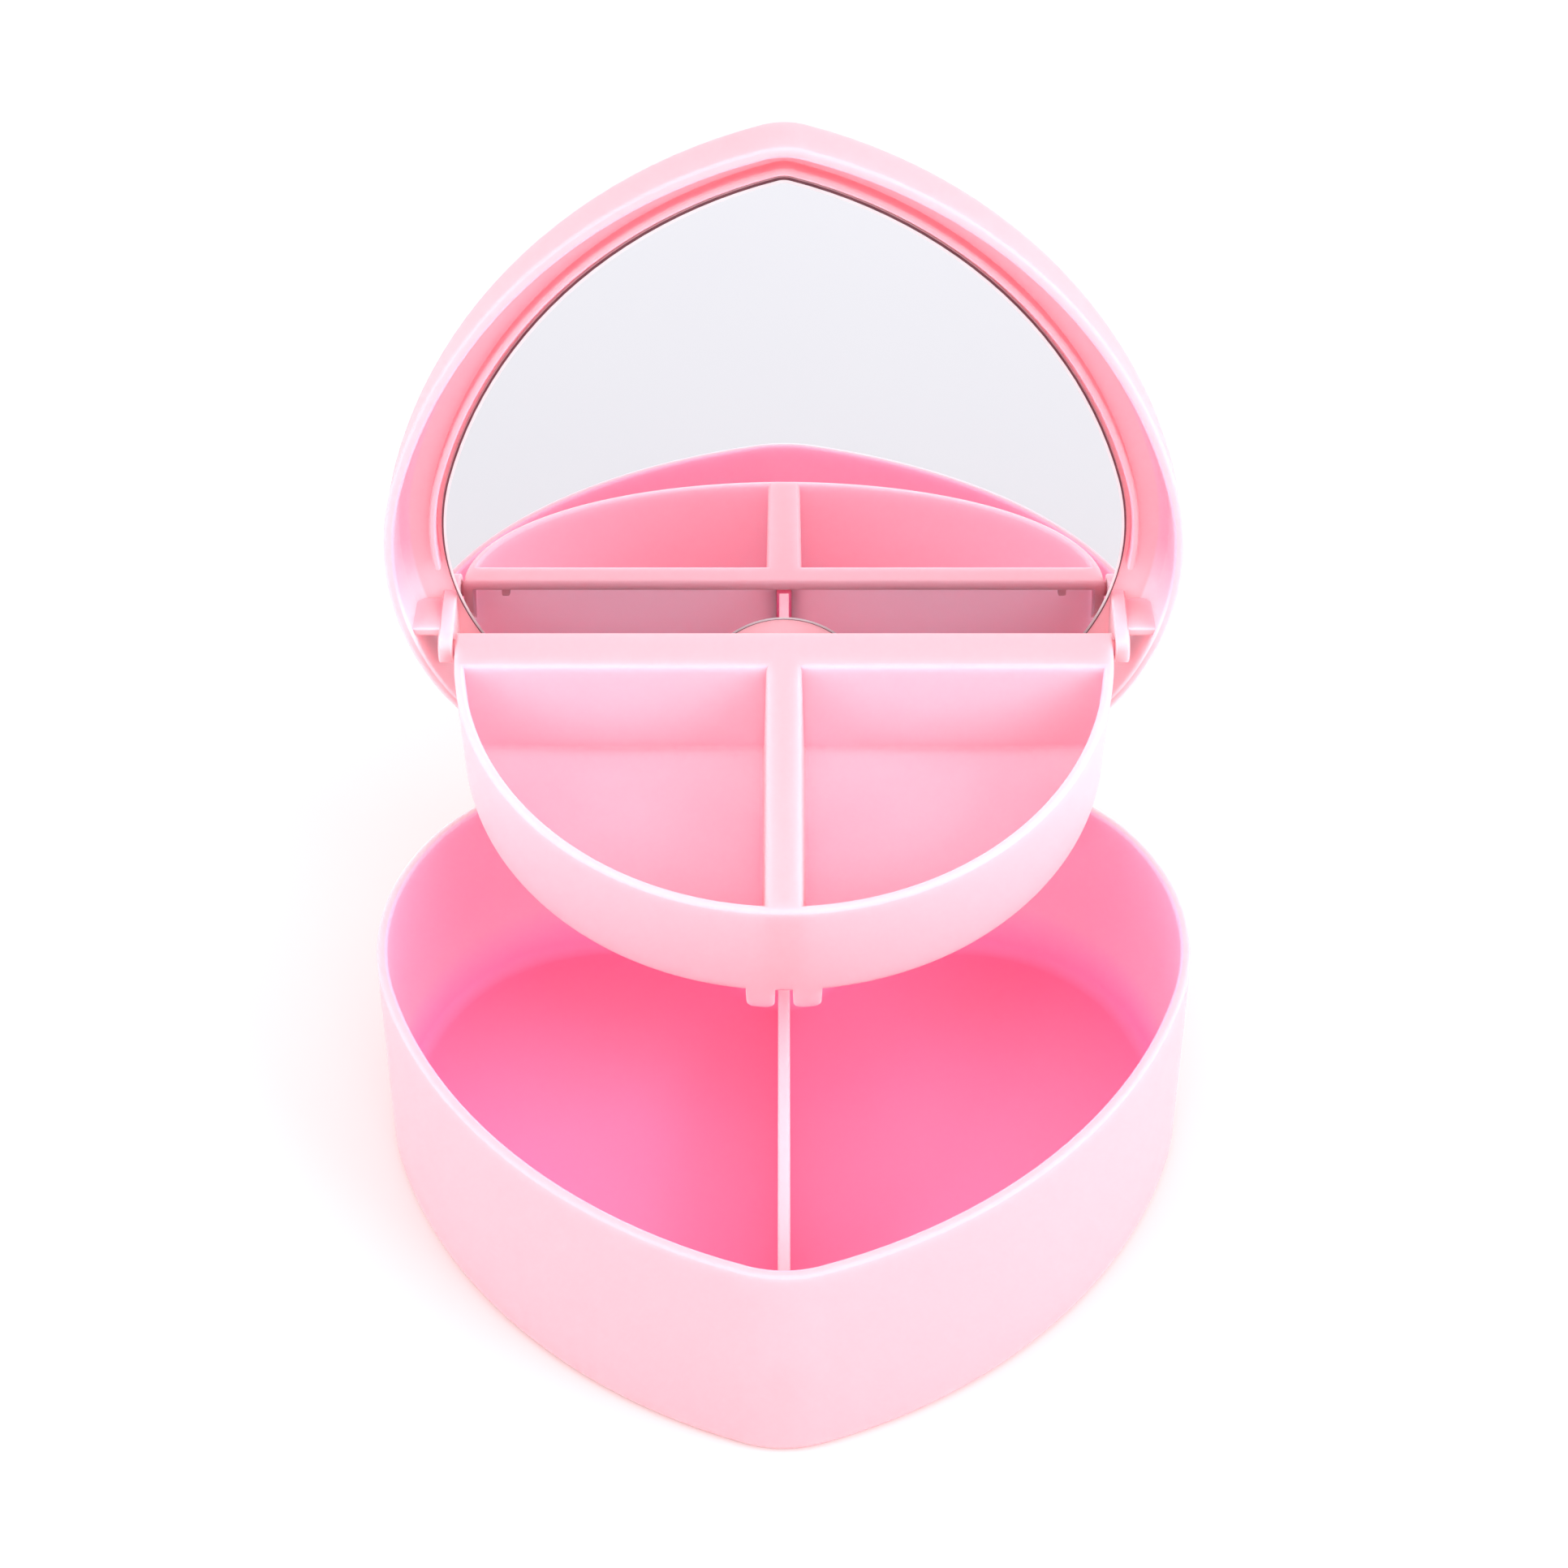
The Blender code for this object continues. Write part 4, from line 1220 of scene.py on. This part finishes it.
# Painted light: the divider's top faces take the paler pink that stands in for light on its edge.
for face in base.data.polygons:
    on_divider = abs(face.center.x) < DIVIDER_THICKNESS / 2
    on_edge = abs(face.center.z - DIVIDER_TOP) < EDGE_BAND and face.normal.z > LOOKS_UP
    face.material_index = int(on_divider and on_edge)
paint(lid, lid_plastic)
paint(tray, tray_plastic, back_painted_light)
# Painted light: the tray's back wall under the ledge takes the paler pink.
for face in tray.data.polygons:
    on_back = BACK_WALL_FROM < face.center.y < BACK_WALL_TO and face.normal.y > LOOKS_BACK
    face.material_index = int(on_back)
print("faces on the tray's back wall:", sum(face.material_index for face in tray.data.polygons))

# %% [markdown]
# The mirror's three finishes are told apart by how far a face slants from the flat glass. The tape and
# the pins are the frame's own pieces, so they only get a finish and stay as they are.

# %% Paint the mirror, the tape and the pins
LINE_FROM = 0.5
LINE_TO = 0.85

paint(mirror, mirror_silver, mirror_edge, mirror_line)
front = max(mirror.data.polygons, key=lambda face: face.area - face.normal.y).normal
for face in mirror.data.polygons:
    slant = abs(face.normal.dot(front))
    face.material_index = 0 if slant > FLAT else 2 if LINE_FROM < slant < LINE_TO else 1
print("faces in the dark line:", sum(face.material_index == 2 for face in mirror.data.polygons))
kept = {"mirror_tape": tape_foam, "left_hinge_pin": pin_steel, "right_hinge_pin": pin_steel}
for name, material in kept.items():
    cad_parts[name].material_slots[0].material = material

# %% [markdown]
# ## Riding and replacing
# Each new piece rides on the body that moves it and stands for the plain solid of the frame. The pins
# and the tape keep the frame's own shapes.

# %% Tie the pieces to the frame
for piece, body, node, slot in (
    (base, "base", "base_tub", "base_plastic"),
    (lid, "lid", "lid_shell", "lid_plastic"),
    (mirror, "lid", "mirror", "mirror_glass"),
    (tray, "tray", "tray", "tray_plastic"),
):
    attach(piece, body)
    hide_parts(node)
    print(piece.name, "rides on", body)

# %% [markdown]
# ## The studio
# The picture is high key: white floor, white walls and no hard shadow. The floor is a plain sheet, a
# little greyer near the case and paler further away. That is painted light and shade which evens out the
# lamps, since they light the floor most near the case and less far away. A node measures the distance for
# that.

# %% Lay the floor
FLOOR_SIZE = 4.0
NEAR_CASE = 0.35
FAR_AWAY = 1.2
NEAR_WHITE = (0.58, 0.58, 0.585)
FAR_WHITE = (0.80, 0.80, 0.80)

clear_selection()
bpy.ops.mesh.primitive_plane_add(size=FLOOR_SIZE)
floor = bpy.context.object
floor.name = "studio_floor"
bpy.ops.object.mode_set(mode="EDIT")
bpy.ops.mesh.subdivide(number_cuts=4)
bpy.ops.object.mode_set(mode="OBJECT")
floor_paint, floor_shader, floor_place = new_material("white_floor")
distance = vector_step(floor_paint, "LENGTH", floor_place.outputs["Object"])
away = spread(floor_paint, distance.outputs["Value"], (NEAR_CASE, FAR_AWAY))
# Painted shade near the case and painted light far away, to even out the lamps on the floor.
floor_tone = blend_colours(floor_paint, away, NEAR_WHITE, FAR_WHITE)
feed(floor_paint, floor_tone, floor_shader.inputs["Base Color"])
vary_roughness(floor_paint, floor_shader, noise(floor_paint, floor_place, 3.0), 0.65, 0.75)
paint(floor, floor_paint)
floor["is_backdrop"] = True
print("floor in metres:", [round(c, 2) for c in floor.dimensions])

# %% [markdown]
# A white world gives most of the light, as a tent of white cloth would. The walls of the case that look
# forwards are as bright as its floors, so wide soft lights stand low at the left, the right and in front
# rather than overhead. The right one is the strongest.

# %% Light the case
WORLD_LIGHT = 1.5
SOFTBOX_DISTANCE = 1.2
SOFTBOX_WIDTH = 0.9
SOFTBOX_HEIGHT = 0.7

world = bpy.data.worlds.new("white_studio")
bpy.context.scene.world = world
world.use_nodes = True
world.node_tree.nodes["Background"].inputs["Color"].default_value = (1.0, 1.0, 1.0, 1.0)
world.node_tree.nodes["Background"].inputs["Strength"].default_value = WORLD_LIGHT


def add_softbox(name, turn, rise, power):
    """A wide soft light that looks at the case, turned from the front and raised by angles."""
    reach = SOFTBOX_DISTANCE * cos(rise)
    place = (reach * sin(turn), -reach * cos(turn), SOFTBOX_DISTANCE * sin(rise))
    bpy.ops.object.light_add(type="AREA", location=place, rotation=(pi / 2 - rise, 0, turn))
    light = bpy.context.object
    light.name = name
    light.data.shape = "RECTANGLE"
    light.data.size = SOFTBOX_WIDTH
    light.data.size_y = SOFTBOX_HEIGHT
    light.data.energy = power
    print(name, "at", [round(c, 2) for c in place], "gives", power, "W")


add_softbox("left_softbox", radians(-60), radians(32), 6.5)
add_softbox("right_softbox", radians(60), radians(32), 11.5)
add_softbox("front_softbox", radians(0), radians(25), 4.5)
bpy.context.scene.view_settings.view_transform = "Standard"

# %% [markdown]
# ## Last measures
# The dressed case must stay inside the frame's own box, so the dressed case's box is measured and printed.

# %% Measure and finish
low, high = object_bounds()
print("visual box in mm:", [round((b - a) / MM, 2) for a, b in zip(low, high)])
